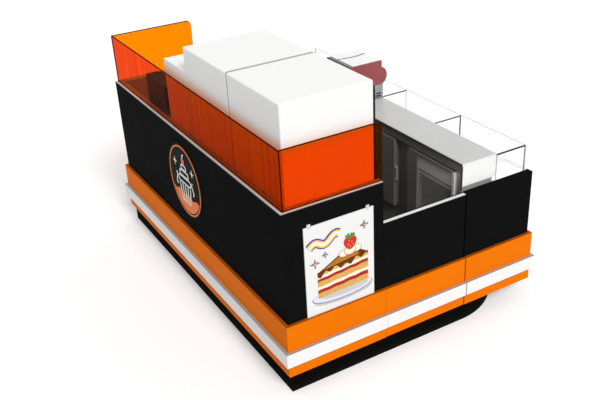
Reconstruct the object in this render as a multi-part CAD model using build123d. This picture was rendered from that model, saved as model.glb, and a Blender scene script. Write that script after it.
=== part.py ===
"""A walk-in food kiosk: a panelled rectangle with a serving counter, a staff gate and a cold rear counter.

Millimetres. +Z is up, the long customer front faces -Y and the gate is in the +X end.
The origin is on the floor, in the middle of the footprint.
"""
import os
from math import sqrt

from build123d import *

# Body panels
body_length = 2400.0
body_width = 1670.0
panel_thick = 40.0
board_thick = 18.0

# Plinth and floor
plinth_height = 125.0
plinth_setback = 4.0
plinth_wall = 25.0
plinth_corner_radius = 480.0
deck_thick = 18.0
joist_width = 40.0
joist_pitch = 400.0

# Bands that run round the outside
lower_band_height = 80.0
white_band_height = 85.0
upper_band_height = 160.0
orange_band_proud = 20.0
white_band_proud = 40.0

# Front counter
counter_height = 1100.0
counter_depth = 608.0
counter_top_thick = 25.0
counter_bays = 4
counter_board_setback = 20.0
counter_shelf_rise = 475.0
counter_shelf_setback = 63.0

# Orange screen and the strips that hold it
screen_height = 335.0
screen_thick = 8.0
screen_strip_width = 16.0
screen_strip_height = 5.0
screen_corner_radius = 30.0

# Staff gate
gate_cap_thick = 4.0
gate_cap_width = 24.0
gate_hinge_gap = 2.0
gate_swing_clearance = 1.5
gate_floor_gap = 3.0
hinge_knuckle_radius = 5.5
hinge_knuckle_gap = 1.0
hinge_pin_radius = 3.0
hinge_leaf_thick = 2.5
hinge_leaf_width = 29.0
hinge_tab_thick = 4.5
hinge_height = 90.0
hinge_end_distance = 130.0
pull_drop = 76.0
pull_length = 120.0
pull_edge_distance = 65.0
pull_bar_radius = 7.0
pull_post_radius = 5.0
pull_post_inset = 14.0
pull_reach = 38.0

# Running clearances
pin_clearance = 0.05
running_gap = 0.3
slide_gap = 0.5

# Rear counter
rear_height = 860.0
rear_depth = 492.0
worktop_rise = 167.0
worktop_thick = 15.0
worktop_depth = 246.0
worktop_overhang = 4.0
cabinet_setback = 42.0
cheek_setback = 4.0
cheek_strip_height = 25.0
cheek_strip_setback = 14.0
storage_shelf_rise = 435.0

# Glass display on the customer side of the rear counter
display_glass_height = 162.0
display_glass_thick = 8.0
display_glass_setback = 30.0
divider_thick = 6.0
divider_pitch = 569.0
divider_count = 3

# Cold cabinet doors
door_width = 434.0
door_height = 461.0
door_thick = 46.0
door_sheet = 2.0
door_top_gap = 61.0
door_seal_gap = 2.0
door_end_distance = 69.0
door_spacing = 136.0
door_overlap = 20.0
door_stile_width = 94.0
door_frame_width = 16.0
door_pane_recess = 10.0
door_pane_thick = 16.0
door_pivot_inset = 8.0
door_pin_radius = 4.0
door_pin_length = 5.0
hinge_plate_thick = 3.0
hinge_plate_width = 24.0
hinge_plate_gap = 2.0
cold_shelf_rise = 297.0
cold_shelf_thick = 3.0
cold_shelf_lip = 33.0
cold_shelf_setback = 12.0
door_pull_rise = 185.0
door_pull_length = 95.0
door_pull_setback = 2.0
door_pull_width = 14.0
door_pull_thick = 10.0
door_pull_reach = 22.0

# Two ovens on the front counter
oven_width = 558.0
oven_depth = 528.0
oven_height = 548.0
oven_end_gap = 10.0
oven_gap = 6.0
oven_front_gap = 14.0
oven_sheet = 2.0
liner_sheet = 2.0
flange_thick = 3.0
cavity_side_gap = 40.0
cavity_rise = 118.0
cavity_height = 380.0
cavity_back_gap = 41.0
control_panel_height = 90.0
control_panel_thick = 23.0
oven_door_height = 417.0
oven_door_thick = 20.0
oven_door_skin = 6.0
oven_door_rim = 30.0
oven_door_gap = 4.0
oven_door_side_gap = 2.0
oven_ear_width = 12.0
oven_ear_height = 24.0
oven_pivot_inset = 5.0
oven_pin_radius = 3.0
oven_handle_length = 420.0
oven_handle_radius = 9.0
oven_handle_reach = 38.0
oven_handle_drop = 36.0
oven_post_radius = 6.0
oven_post_inset = 27.0
knob_radius = 20.0
knob_length = 22.0
knob_shaft_radius = 4.0
knob_shaft_length = 10.0
knob_offset = 190.0
knob_pointer_length = 32.0
knob_pointer_width = 8.0
knob_pointer_thick = 4.0
rack_bar = 6.0
rack_bar_count = 11
rack_ledge = 6.0
rack_rise = 180.0
rack_depth = 440.0

# Hot water boiler on the front counter
boiler_width = 316.0
boiler_depth = 380.0
boiler_height = 395.0
boiler_gap = 8.0
boiler_sheet = 2.0
tap_rise = 150.0
tap_reach = 62.0
tap_radius = 12.0
spout_pipe_radius = 9.0
spout_pipe_drop = 42.0
lug_width = 8.0
lug_height = 27.0
lever_pin_radius = 3.0
lever_pin_rise = 22.0
lever_cheek = 5.0
lever_depth = 14.0
lever_foot = 7.0
lever_fork_rise = 14.0
lever_length = 68.0
tray_width = 190.0
tray_depth = 116.0
tray_height = 22.0
tray_wall = 3.0

# Till on the front counter
till_width = 310.0
till_depth = 350.0
till_gap = 79.0
till_front_gap = 20.0
till_drawer_height = 95.0
till_sheet = 2.0
till_front_plate = 8.0
drawer_wall_drop = 12.0
terminal_height = 95.0
terminal_depth = 310.0
terminal_flat_depth = 75.0
terminal_lip = 20.0
terminal_wall = 3.0

# Coffee machine on the rear worktop
coffee_width = 284.0
coffee_end_distance = 1146.0
coffee_base_height = 98.0
coffee_trunk_height = 65.0
coffee_head_height = 98.0
coffee_head_depth = 245.0
coffee_head_overhang = 8.0
coffee_tray_height = 33.0
coffee_tray_depth = 85.0
coffee_front_setback = 6.0
coffee_side_thick = 10.0
coffee_belly = 41.0
coffee_belly_drop = 45.0
coffee_body_inset = 4.0
coffee_sheet = 2.0
cup_tray_width = 157.0
cup_tray_thick = 18.0
lid_thick = 10.0
lid_gap = 3.0
lid_pivot_inset = 6.0
lid_pin_radius = 2.5
lid_pin_length = 5.0
group_radius = 30.0
group_height = 22.0
filter_radius = 28.0
filter_height = 26.0
filter_handle_radius = 11.0
filter_handle_length = 118.0
filter_spout_radius = 8.0
filter_spout_height = 14.0

# Signs
sign_radius = 245.0
sign_thick = 5.0
sign_offset = -40.0
sign_drop = 313.0
poster_width = 423.0
poster_height = 540.0
poster_thick = 6.0
poster_corner_distance = 117.0

# Places worked out from the sizes above
end_x = body_length / 2
front_y = -body_width / 2
rear_y = body_width / 2
inner_x = end_x - panel_thick
inner_front_y = front_y + panel_thick
inner_rear_y = rear_y - panel_thick
counter_edge_y = front_y + counter_depth
rear_edge_y = rear_y - rear_depth
floor_z = plinth_height
base_top_z = floor_z + board_thick
white_band_z = floor_z + lower_band_height
upper_band_z = white_band_z + white_band_height
band_top_z = upper_band_z + upper_band_height
cabinet_face_y = rear_edge_y + cabinet_setback
cabinet_inside_y = cabinet_face_y + board_thick
worktop_front_y = rear_edge_y - worktop_overhang
worktop_rear_y = worktop_front_y + worktop_depth
display_back_y = worktop_rear_y - board_thick
worktop_height = rear_height + worktop_rise
worktop_under_z = worktop_height - worktop_thick
cheek_x = inner_x - cheek_setback
door_z = worktop_under_z - door_top_gap - door_height
glass_door_x = (inner_x - door_end_distance - door_width, inner_x - door_end_distance)
solid_door_x = tuple(x - door_width - door_spacing for x in glass_door_x)
near_oven_x = (inner_x - oven_end_gap - oven_width, inner_x - oven_end_gap)
far_oven_x = tuple(x - oven_width - oven_gap for x in near_oven_x)
oven_y = (inner_front_y + oven_front_gap, inner_front_y + oven_front_gap + oven_depth)
boiler_x = (far_oven_x[0] - boiler_gap - boiler_width, far_oven_x[0] - boiler_gap)
till_x = (boiler_x[0] - till_gap - till_width, boiler_x[0] - till_gap)

# The gate hangs on its inner face; its free edge is cut back so that the proud bands swing clear
hinge_x = inner_x - hinge_knuckle_gap - hinge_knuckle_radius
hinge_y = counter_edge_y + gate_hinge_gap / 2
gate_hinge_y = counter_edge_y + gate_hinge_gap
gate_outer_depth = end_x + white_band_proud - hinge_x
gate_reach = rear_edge_y - gate_swing_clearance - hinge_y
gate_free_y = hinge_y + sqrt(gate_reach**2 - gate_outer_depth**2)
gate_z = (floor_z + gate_floor_gap, rear_height - gate_cap_thick)


def block(x, y, z):
    """A rectangular piece between two limits on each axis."""
    limits = (x, y, z)
    middle = [(low + high) / 2 for low, high in limits]
    return Pos(*middle) * Box(*[high - low for low, high in limits])


def rod(axis, radius, at, span):
    """A round bar along an axis; at gives its other two coordinates, in X, Y, Z order."""
    middle = (span[0] + span[1]) / 2
    places = {"X": (middle, *at), "Y": (at[0], middle, at[1]), "Z": (*at, middle)}
    turns = {"X": Rot(0, 90, 0), "Y": Rot(90, 0, 0), "Z": Rot(0, 0, 0)}
    return Pos(*places[axis]) * turns[axis] * Cylinder(radius, span[1] - span[0])


def along_x(edges, x):
    """A closed outline of edges, given in Y and Z, extruded between two X limits."""
    face = make_face([Plane.YZ * edge for edge in edges])
    return Pos(x[0], 0, 0) * extrude(face, x[1] - x[0], dir=(1, 0, 0))


def hollow(solid, wall, open_faces):
    """A shell with the given wall, open at the given faces."""
    return offset(solid, -wall, openings=open_faces, kind=Kind.INTERSECTION)


def underside(solid):
    return [solid.faces().sort_by(Axis.Z)[0]]


def both_ends(low, high):
    """An X span at the gate end and its mirror at the far end."""
    return [(low, high), (-high, -low)]


def about(middle, width):
    return (middle - width / 2, middle + width / 2)


def sheet_box(x, y, z, sheet):
    """Five plates of a box that is open towards +Y."""
    side_y = (y[0] + sheet, y[1])
    side_z = (z[0] + sheet, z[1] - sheet)
    return [
        block(x, y, (z[0], side_z[0])),
        block(x, y, (side_z[1], z[1])),
        block(x, (y[0], side_y[0]), side_z),
        block((x[0], x[0] + sheet), side_y, side_z),
        block((x[1] - sheet, x[1]), side_y, side_z),
    ]


def save(name, *solids):
    """Writes one node; several solids stay separate pieces of it."""
    shape = solids[0] if len(solids) == 1 else Compound(children=list(solids))
    export_step(shape, f"parts/{name}.step")


def plinth_plan(inset, z):
    """The plinth's plan, square in front and round at the rear corners, drawn in by inset."""
    x_half = end_x - plinth_setback - inset
    plan = block((-x_half, x_half), (front_y + plinth_setback + inset, rear_y - plinth_setback - inset), z)
    rear_corners = plan.edges().filter_by(Axis.Z).group_by(Axis.Y)[-1]
    return fillet(rear_corners, plinth_corner_radius - inset)


def plinth_and_deck():
    x_half = end_x - plinth_setback
    rear = rear_y - plinth_setback
    inner_front = front_y + plinth_setback + plinth_wall
    curve_x = x_half - plinth_corner_radius
    curve_y = rear - plinth_corner_radius
    z = (0, plinth_height)
    pieces = [
        block((-x_half, x_half), (inner_front - plinth_wall, inner_front), z),
        block((-curve_x, curve_x), (rear - plinth_wall, rear), z),
    ]
    for x in both_ends(x_half - plinth_wall, x_half):
        pieces.append(block(x, (inner_front, curve_y), z))
    ring = plinth_plan(0, z) - plinth_plan(plinth_wall, z)
    for x in both_ends(curve_x, x_half):
        pieces.append(ring & block(x, (curve_y, rear), z))
    # Joists beside the round corners stop where the curve begins
    deck_z = (plinth_height - deck_thick, plinth_height)
    joists_each_side = int((x_half - plinth_wall - joist_width) // joist_pitch)
    for number in range(-joists_each_side, joists_each_side + 1):
        x = about(number * joist_pitch, joist_width)
        reaches_rear = max(abs(x[0]), abs(x[1])) <= curve_x
        joist_end = rear - plinth_wall if reaches_rear else curve_y
        pieces.append(block(x, (inner_front, joist_end), (0, deck_z[0])))
    save("plinth", *pieces)
    save("floor_deck", plinth_plan(plinth_wall, deck_z))


def front_counter():
    panel_z = (floor_z, counter_height)
    top_z = (counter_height - counter_top_thick, counter_height)
    depth_y = (inner_front_y, counter_edge_y)
    save("front_panel", block((-end_x, end_x), (front_y, inner_front_y), panel_z))
    save("counter_end_panels", *[block(x, depth_y, panel_z) for x in both_ends(inner_x, end_x)])
    save("counter_top", block((-inner_x, inner_x), depth_y, top_z))

    board_y = (inner_front_y, counter_edge_y - counter_board_setback)
    boards = [block((-inner_x, inner_x), board_y, (floor_z, base_top_z))]
    bay_width = (2 * inner_x - (counter_bays - 1) * board_thick) / counter_bays
    bays = [-inner_x + number * (bay_width + board_thick) for number in range(counter_bays)]
    for bay in bays[1:]:
        boards.append(block((bay - board_thick, bay), board_y, (base_top_z, top_z[0])))
    # The bay behind the gate has no shelf, so the open gate's pull has room in it
    shelf_y = (inner_front_y, counter_edge_y - counter_shelf_setback)
    shelf_z = (floor_z + counter_shelf_rise, floor_z + counter_shelf_rise + board_thick)
    for bay in bays[:-1]:
        boards.append(block((bay, bay + bay_width), shelf_y, shelf_z))
    save("counter_carcass", *boards)


def screen():
    pane_z = (counter_height, counter_height + screen_height)
    strip_z = (counter_height, counter_height + screen_strip_height)
    outer = screen_strip_width
    inner = screen_strip_width + screen_thick
    outer_x, inner_pane_x = end_x - outer, end_x - inner
    outer_y, inner_pane_y = front_y + outer, front_y + inner
    save("front_screen", block((-outer_x, outer_x), (outer_y, inner_pane_y), pane_z))
    panes = []
    for x in both_ends(inner_pane_x, outer_x):
        pane = block(x, (inner_pane_y, counter_edge_y), pane_z)
        free_corner = pane.edges().filter_by(Axis.X).group_by(Axis.Z)[-1].sort_by(Axis.Y)[-1]
        panes.append(fillet(free_corner, screen_corner_radius))
    save("end_screens", *panes)
    strips = [
        block((-end_x, end_x), (front_y, outer_y), strip_z),
        block((-inner_pane_x, inner_pane_x), (inner_pane_y, inner_front_y), strip_z),
    ]
    for x in both_ends(outer_x, end_x):
        strips.append(block(x, (outer_y, counter_edge_y), strip_z))
    for x in both_ends(inner_x, inner_pane_x):
        strips.append(block(x, (inner_front_y, counter_edge_y), strip_z))
    save("screen_strips", *strips)


def band_ring(z, proud):
    """A band round the kiosk, left out in front of the gate."""
    outer_x = end_x + proud
    return [
        block((-outer_x, outer_x), (front_y - proud, front_y), z),
        block((-outer_x, outer_x), (rear_y, rear_y + proud), z),
        block((-outer_x, -end_x), (front_y, rear_y), z),
        block((end_x, outer_x), (front_y, counter_edge_y), z),
        block((end_x, outer_x), (rear_edge_y, rear_y), z),
    ]


def bands():
    lower = band_ring((floor_z, white_band_z), orange_band_proud)
    upper = band_ring((upper_band_z, band_top_z), orange_band_proud)
    save("orange_bands", *lower, *upper)
    save("white_bands", *band_ring((white_band_z, upper_band_z), white_band_proud))


def gate():
    y = (gate_hinge_y, gate_free_y)
    orange_x = (end_x, end_x + orange_band_proud)
    save("gate_leaf", block((inner_x, end_x), y, gate_z))
    save("gate_cap", block((end_x - gate_cap_width, end_x), y, (gate_z[1], rear_height)))
    lower = block(orange_x, y, (gate_z[0], white_band_z))
    save("gate_orange_bands", lower, block(orange_x, y, (upper_band_z, band_top_z)))
    save("gate_white_band", block((end_x, end_x + white_band_proud), y, (white_band_z, upper_band_z)))

    grip_at = (inner_x - pull_reach, gate_free_y - pull_edge_distance)
    grip_z = (gate_z[1] - pull_drop - pull_length, gate_z[1] - pull_drop)
    pull = rod("Z", pull_bar_radius, grip_at, grip_z)
    for level in (grip_z[0] + pull_post_inset, grip_z[1] - pull_post_inset):
        pull += rod("X", pull_post_radius, (grip_at[1], level), (grip_at[0], inner_x))
    save("gate_pull", pull)

    # Lift-off hinges: the fixed half carries the pin and the gate's half drops over it
    axis = (hinge_x, hinge_y)
    leaf_x = (inner_x - hinge_leaf_thick, inner_x)
    tab_x = (inner_x - hinge_tab_thick, inner_x)
    clear = hinge_knuckle_radius + hinge_knuckle_gap
    fixed_y = (hinge_y - clear - hinge_leaf_width, hinge_y - clear)
    moving_y = (hinge_y + clear, hinge_y + clear + hinge_leaf_width)
    fixed, moving = [], []
    for low in (gate_z[0] + hinge_end_distance, gate_z[1] - hinge_end_distance - hinge_height):
        z = (low, low + hinge_height)
        lower_z = (z[0], z[0] + hinge_height / 2)
        upper_z = (lower_z[1] + running_gap, z[1])
        half = block(leaf_x, fixed_y, z) + block(tab_x, (fixed_y[1], counter_edge_y), lower_z)
        half += rod("Z", hinge_knuckle_radius, axis, lower_z)
        fixed.append(half + rod("Z", hinge_pin_radius, axis, (lower_z[1], z[1])))
        half = block(leaf_x, moving_y, z) + block(tab_x, (gate_hinge_y, moving_y[0]), upper_z)
        half += rod("Z", hinge_knuckle_radius, axis, upper_z)
        moving.append(half - rod("Z", hinge_pin_radius + pin_clearance, axis, upper_z))
    save("gate_hinge_posts", *fixed)
    save("gate_hinge_leaves", *moving)


def rear_counter():
    panel_z = (floor_z, rear_height)
    depth_y = (rear_edge_y, inner_rear_y)
    save("rear_panel", block((-end_x, end_x), (inner_rear_y, rear_y), panel_z))
    ends = [block(x, depth_y, panel_z) for x in both_ends(inner_x, end_x)]
    # The far end of the aisle is closed by a fixed panel
    ends.append(block((-end_x, -inner_x), (counter_edge_y, rear_edge_y), panel_z))
    save("rear_end_panels", *ends)

    deck_z = (rear_height - board_thick, rear_height)
    cheek_z = (rear_height + cheek_strip_height, worktop_under_z)
    rail_x = cheek_x - board_thick
    middle_x = about((glass_door_x[0] + solid_door_x[1]) / 2, board_thick)
    cold_end_x = about(solid_door_x[0] - door_spacing / 2, board_thick)
    storage_x = about((cold_end_x[0] - inner_x + board_thick) / 2, board_thick)
    boards = [block((-inner_x, inner_x), depth_y, (floor_z, base_top_z))]
    for x in both_ends(inner_x - board_thick, inner_x):
        boards.append(block(x, depth_y, (base_top_z, deck_z[0])))
    for x in (middle_x, cold_end_x, storage_x):
        boards.append(block(x, (cabinet_inside_y, inner_rear_y), (base_top_z, deck_z[0])))
        boards.append(block(x, (cabinet_inside_y, display_back_y), (deck_z[0], worktop_under_z)))
    cold_bays = [(middle_x[1], inner_x - board_thick), (cold_end_x[1], middle_x[0])]
    opening_z = (door_z + door_overlap, door_z + door_height - door_overlap)
    for x in cold_bays:
        floor = (opening_z[0] - board_thick, opening_z[0])
        boards.append(block(x, (cabinet_inside_y, inner_rear_y), floor))
    # A recessed strip under each cheek
    for x in both_ends(rail_x, inner_x - cheek_strip_setback):
        boards.append(block(x, (rear_edge_y, display_back_y), (deck_z[0], cheek_z[0])))
    save("cabinet_carcass", *boards)

    cheek_y = (rear_edge_y, worktop_rear_y)
    save("cabinet_cheeks", *[block(x, cheek_y, cheek_z) for x in both_ends(rail_x, cheek_x)])
    worktop_y = (worktop_front_y, worktop_rear_y)
    save("worktop", block((-cheek_x, cheek_x), worktop_y, (worktop_under_z, worktop_height)))

    face_y = (cabinet_face_y, cabinet_inside_y)
    lower_x = (cold_end_x[0], inner_x - board_thick)
    stiles = [
        (glass_door_x[1] - door_overlap, rail_x),
        (solid_door_x[1] - door_overlap, glass_door_x[0] + door_overlap),
        (cold_end_x[0], solid_door_x[0] + door_overlap),
    ]
    save(
        "cabinet_face",
        block(lower_x, face_y, (base_top_z, opening_z[0])),
        block((-rail_x, rail_x), face_y, (opening_z[1], worktop_under_z)),
        *[block(x, face_y, opening_z) for x in stiles],
    )

    # Each cold shelf is a thin sheet, folded down along its front edge
    sheet_low = opening_z[0] + cold_shelf_rise
    sheet_top = sheet_low + cold_shelf_thick
    sheet_y = (cabinet_inside_y + cold_shelf_setback, inner_rear_y)
    lip_y = (sheet_y[0], sheet_y[0] + cold_shelf_thick)
    sheets = []
    for x in cold_bays:
        lip = block(x, lip_y, (sheet_top - cold_shelf_lip, sheet_top))
        sheets.append(block(x, sheet_y, (sheet_low, sheet_top)) + lip)
    save("cold_shelves", *sheets)

    shelf_z = floor_z + storage_shelf_rise
    shelves = []
    for x in ((storage_x[1], cold_end_x[0]), (-inner_x + board_thick, storage_x[0])):
        shelves.append(block(x, (cabinet_inside_y, inner_rear_y), (shelf_z, shelf_z + board_thick)))
    save("cabinet_shelves", *shelves)

    deck = block((-inner_x, inner_x), (display_back_y, inner_rear_y), deck_z)
    back = block((-rail_x, rail_x), (display_back_y, worktop_rear_y), (rear_height, worktop_under_z))
    save("display_deck", deck, back)


def display_glass():
    z = (rear_height, rear_height + display_glass_height)
    pane_y = (rear_y - display_glass_setback - display_glass_thick, rear_y - display_glass_setback)
    outer_x = cheek_x + display_glass_thick
    divider_y = (worktop_rear_y, pane_y[0])
    save("display_front_glass", block((-outer_x, outer_x), pane_y, z))
    panes = [block(x, divider_y, z) for x in both_ends(cheek_x, outer_x)]
    for number in range(1, divider_count + 1):
        panes.append(block(about(outer_x - number * divider_pitch, divider_thick), divider_y, z))
    save("display_dividers", *panes)


def door_slab(x, y, z):
    """A door with stub pins above and below its hinge edge."""
    pivot = (x[0] + door_pivot_inset, y[0] + door_pivot_inset)
    slab = block(x, y, z)
    slab += rod("Z", door_pin_radius, pivot, (z[0] - door_pin_length, z[0]))
    return slab + rod("Z", door_pin_radius, pivot, (z[1], z[1] + door_pin_length))


def door_plates(x, y, z):
    """The two plates that hold a door's stub pins."""
    pivot = (x[0] + door_pivot_inset, y[0] + door_pivot_inset)
    plate_x = (x[0], x[0] + hinge_plate_width)
    low = z[0] - hinge_plate_gap
    high = z[1] + hinge_plate_gap
    plates = []
    for plate_z in ((low - hinge_plate_thick, low), (high, high + hinge_plate_thick)):
        plate = block(plate_x, (y[0], cabinet_face_y), plate_z)
        plates.append(plate - rod("Z", door_pin_radius + pin_clearance, pivot, plate_z))
    return plates


def door_pull(x, y):
    """An upright bar on two feet, on the door's free edge, so that the gate swings past it."""
    grip_x = (x[1] + door_pull_reach - door_pull_thick, x[1] + door_pull_reach)
    grip_y = (y[0] + door_pull_setback, y[0] + door_pull_setback + door_pull_width)
    grip_z = (door_z + door_pull_rise, door_z + door_pull_rise + door_pull_length)
    foot_x = (x[1], grip_x[1])
    pull = block(grip_x, grip_y, grip_z)
    pull += block(foot_x, grip_y, (grip_z[0], grip_z[0] + door_pull_width))
    return pull + block(foot_x, grip_y, (grip_z[1] - door_pull_width, grip_z[1]))


def cabinet_doors():
    inner_y = cabinet_face_y - door_seal_gap
    y = (inner_y - door_thick, inner_y)
    z = (door_z, door_z + door_height)

    inside_y = (y[0] + door_sheet, y[1] - door_sheet)
    inside_z = (z[0] + door_sheet, z[1] - door_sheet)

    # The glazed door has a broad box-section stile on its hinge side and a thin rim elsewhere
    pane_x = (glass_door_x[0] + door_stile_width, glass_door_x[1] - door_frame_width)
    pane_z = (z[0] + door_frame_width, z[1] - door_frame_width)
    pane_y = (y[0] + door_pane_recess, y[0] + door_pane_recess + door_pane_thick)
    stile_inside_x = (glass_door_x[0] + door_sheet, pane_x[0] - door_sheet)
    frame = door_slab(glass_door_x, y, z) - block(pane_x, y, pane_z)
    save("glass_door_frame", frame - block(stile_inside_x, inside_y, inside_z))
    save("glass_door_pane", block(pane_x, pane_y, pane_z))
    save("glass_door_pull", door_pull(glass_door_x, y))

    # The solid door is a folded pan, closed at the back by a liner sheet
    inside_x = (solid_door_x[0] + door_sheet, solid_door_x[1] - door_sheet)
    pan = door_slab(solid_door_x, y, z) - block(inside_x, (inside_y[0], y[1]), inside_z)
    save("solid_door", pan, block(inside_x, (inside_y[1], y[1]), inside_z))
    save("solid_door_pull", door_pull(solid_door_x, y))
    plates = [plate for x in (glass_door_x, solid_door_x) for plate in door_plates(x, y, z)]
    save("door_hinge_plates", *plates)


def oven_rack(x, y, low):
    """A wire shelf: a square-bar frame with bars from front to back."""
    z = (low, low + rack_bar)
    rack = block(x, (y[0], y[0] + rack_bar), z) + block(x, (y[1] - rack_bar, y[1]), z)
    pitch = (x[1] - x[0] - rack_bar) / (rack_bar_count - 1)
    for number in range(rack_bar_count):
        bar = x[0] + number * pitch
        rack += block((bar, bar + rack_bar), y, z)
    return rack


def ovens():
    z = (counter_height, counter_height + oven_height)
    cavity_z = (counter_height + cavity_rise, counter_height + cavity_rise + cavity_height)
    flange_y = (oven_y[1] - flange_thick, oven_y[1])
    skin_y = (oven_y[0] + cavity_back_gap, flange_y[0])
    skin_z = (cavity_z[0] - liner_sheet, cavity_z[1] + liner_sheet)
    panel_y = (oven_y[1], oven_y[1] + control_panel_thick)
    panel_z = (counter_height, counter_height + control_panel_height)
    ear_z = (panel_z[1], panel_z[1] + oven_ear_height)
    door_y = (panel_y[1] - oven_door_thick, panel_y[1])
    low = panel_z[1] + oven_door_gap
    oven_door_z = (low, low + oven_door_height)
    pivot = (door_y[1] - oven_pivot_inset, low + oven_pivot_inset)
    rack_z = cavity_z[0] + rack_rise
    rack_y = (flange_y[0] - rack_depth, flange_y[0])
    knob_z = (panel_z[0] + panel_z[1]) / 2
    knob_y = (panel_y[1] + running_gap, panel_y[1] + running_gap + knob_length)
    shaft_y = (panel_y[1] - knob_shaft_length, knob_y[0])
    grip_at = (door_y[1] + oven_handle_reach, oven_door_z[1] - oven_handle_drop)
    casings, liners, racks, panels = [], [], [], []
    for name, x in (("near_oven", near_oven_x), ("far_oven", far_oven_x)):
        middle = (x[0] + x[1]) / 2
        casings += sheet_box(x, oven_y, z, oven_sheet)

        # The cavity is a box of its own, joined to the casing by a flange round its mouth
        inside_x = (x[0] + oven_sheet, x[1] - oven_sheet)
        cavity_x = (x[0] + cavity_side_gap, x[1] - cavity_side_gap)
        skin_x = (cavity_x[0] - liner_sheet, cavity_x[1] + liner_sheet)
        liners += sheet_box(skin_x, skin_y, skin_z, liner_sheet)
        liners.append(block(inside_x, flange_y, (z[0] + oven_sheet, cavity_z[0])))
        liners.append(block(inside_x, flange_y, (cavity_z[1], z[1] - oven_sheet)))
        liners.append(block((inside_x[0], cavity_x[0]), flange_y, cavity_z))
        liners.append(block((cavity_x[1], inside_x[1]), flange_y, cavity_z))
        ledge_z = (rack_z - rack_ledge, rack_z)
        liners.append(block((cavity_x[0], cavity_x[0] + rack_ledge), rack_y, ledge_z))
        liners.append(block((cavity_x[1] - rack_ledge, cavity_x[1]), rack_y, ledge_z))
        racks.append(oven_rack((cavity_x[0] + running_gap, cavity_x[1] - running_gap), rack_y, rack_z))

        # The control panel carries the door between two ears
        knob_at = (middle + knob_offset, knob_z)
        panel = block(x, panel_y, panel_z)
        for ear_x in ((x[0], x[0] + oven_ear_width), (x[1] - oven_ear_width, x[1])):
            panel += block(ear_x, panel_y, ear_z)
        panel -= rod("X", oven_pin_radius + pin_clearance, pivot, x)
        panels.append(panel - rod("Y", knob_shaft_radius + pin_clearance, knob_at, shaft_y))

        side = oven_ear_width + oven_door_side_gap
        door_x = (x[0] + side, x[1] - side)
        rim = oven_door_rim
        pocket_y = (door_y[0], door_y[1] - oven_door_skin)
        pocket_z = (oven_door_z[0] + rim, oven_door_z[1] - rim)
        pocket = block((door_x[0] + rim, door_x[1] - rim), pocket_y, pocket_z)
        door = block(door_x, door_y, oven_door_z) - pocket
        for pin_x in ((x[0] + oven_door_side_gap, door_x[0]), (door_x[1], x[1] - oven_door_side_gap)):
            door += rod("X", oven_pin_radius, pivot, pin_x)
        save(f"{name}_door", door)

        grip_x = about(middle, oven_handle_length)
        grip = rod("X", oven_handle_radius, grip_at, grip_x)
        for post_x in (grip_x[0] + oven_post_inset, grip_x[1] - oven_post_inset):
            grip += rod("Y", oven_post_radius, (post_x, grip_at[1]), (door_y[1], grip_at[0]))
        save(f"{name}_handle", grip)

        knob = rod("Y", knob_radius, knob_at, knob_y)
        knob += rod("Y", knob_shaft_radius, knob_at, (shaft_y[0] + running_gap, knob_y[0]))
        pointer_y = (knob_y[1], knob_y[1] + knob_pointer_thick)
        knob += block(about(knob_at[0], knob_pointer_width), pointer_y, about(knob_z, knob_pointer_length))
        save(f"{name}_knob", knob)
    save("oven_casings", *casings)
    save("oven_liners", *liners)
    save("oven_racks", *racks)
    save("oven_control_panels", *panels)


def boiler():
    y = (oven_y[0], oven_y[0] + boiler_depth)
    z = (counter_height, counter_height + boiler_height)
    plate_y = (y[1] - boiler_sheet, y[1])
    box = sheet_box(boiler_x, (y[0], plate_y[0]), z, boiler_sheet)
    save("boiler_casing", *box, block(boiler_x, plate_y, z))

    # The tap leaves the operator side and turns down; a lug on top of it holds the lever's pin
    middle = (boiler_x[0] + boiler_x[1]) / 2
    level = counter_height + tap_rise
    end_y = y[1] + tap_reach
    pin_at = (end_y, level + lever_pin_rise)
    fork_half = lug_width / 2 + running_gap + lever_cheek
    lever_y = about(end_y, lever_depth)
    tap = rod("Y", tap_radius, (middle, level), (y[1], end_y + tap_radius))
    tap += rod("Z", spout_pipe_radius, (middle, end_y), (level - spout_pipe_drop, level))
    tap += block(about(middle, lug_width), lever_y, (level, level + lug_height))
    save("boiler_tap", tap + rod("X", lever_pin_radius, pin_at, (middle - fork_half, middle + fork_half)))

    fork_z = (pin_at[1] - lever_foot, pin_at[1] + lever_fork_rise)
    lever = block(about(middle, 2 * fork_half), lever_y, (fork_z[0], pin_at[1] + lever_length))
    lever -= block(about(middle, lug_width + 2 * running_gap), lever_y, fork_z)
    save("boiler_lever", lever - rod("X", lever_pin_radius + pin_clearance, pin_at, boiler_x))

    tray_y = (y[1] + slide_gap, y[1] + slide_gap + tray_depth)
    tray = block(about(middle, tray_width), tray_y, (counter_height, counter_height + tray_height))
    save("boiler_drip_tray", hollow(tray, tray_wall, [tray.faces().sort_by(Axis.Z)[-1]]))


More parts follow.
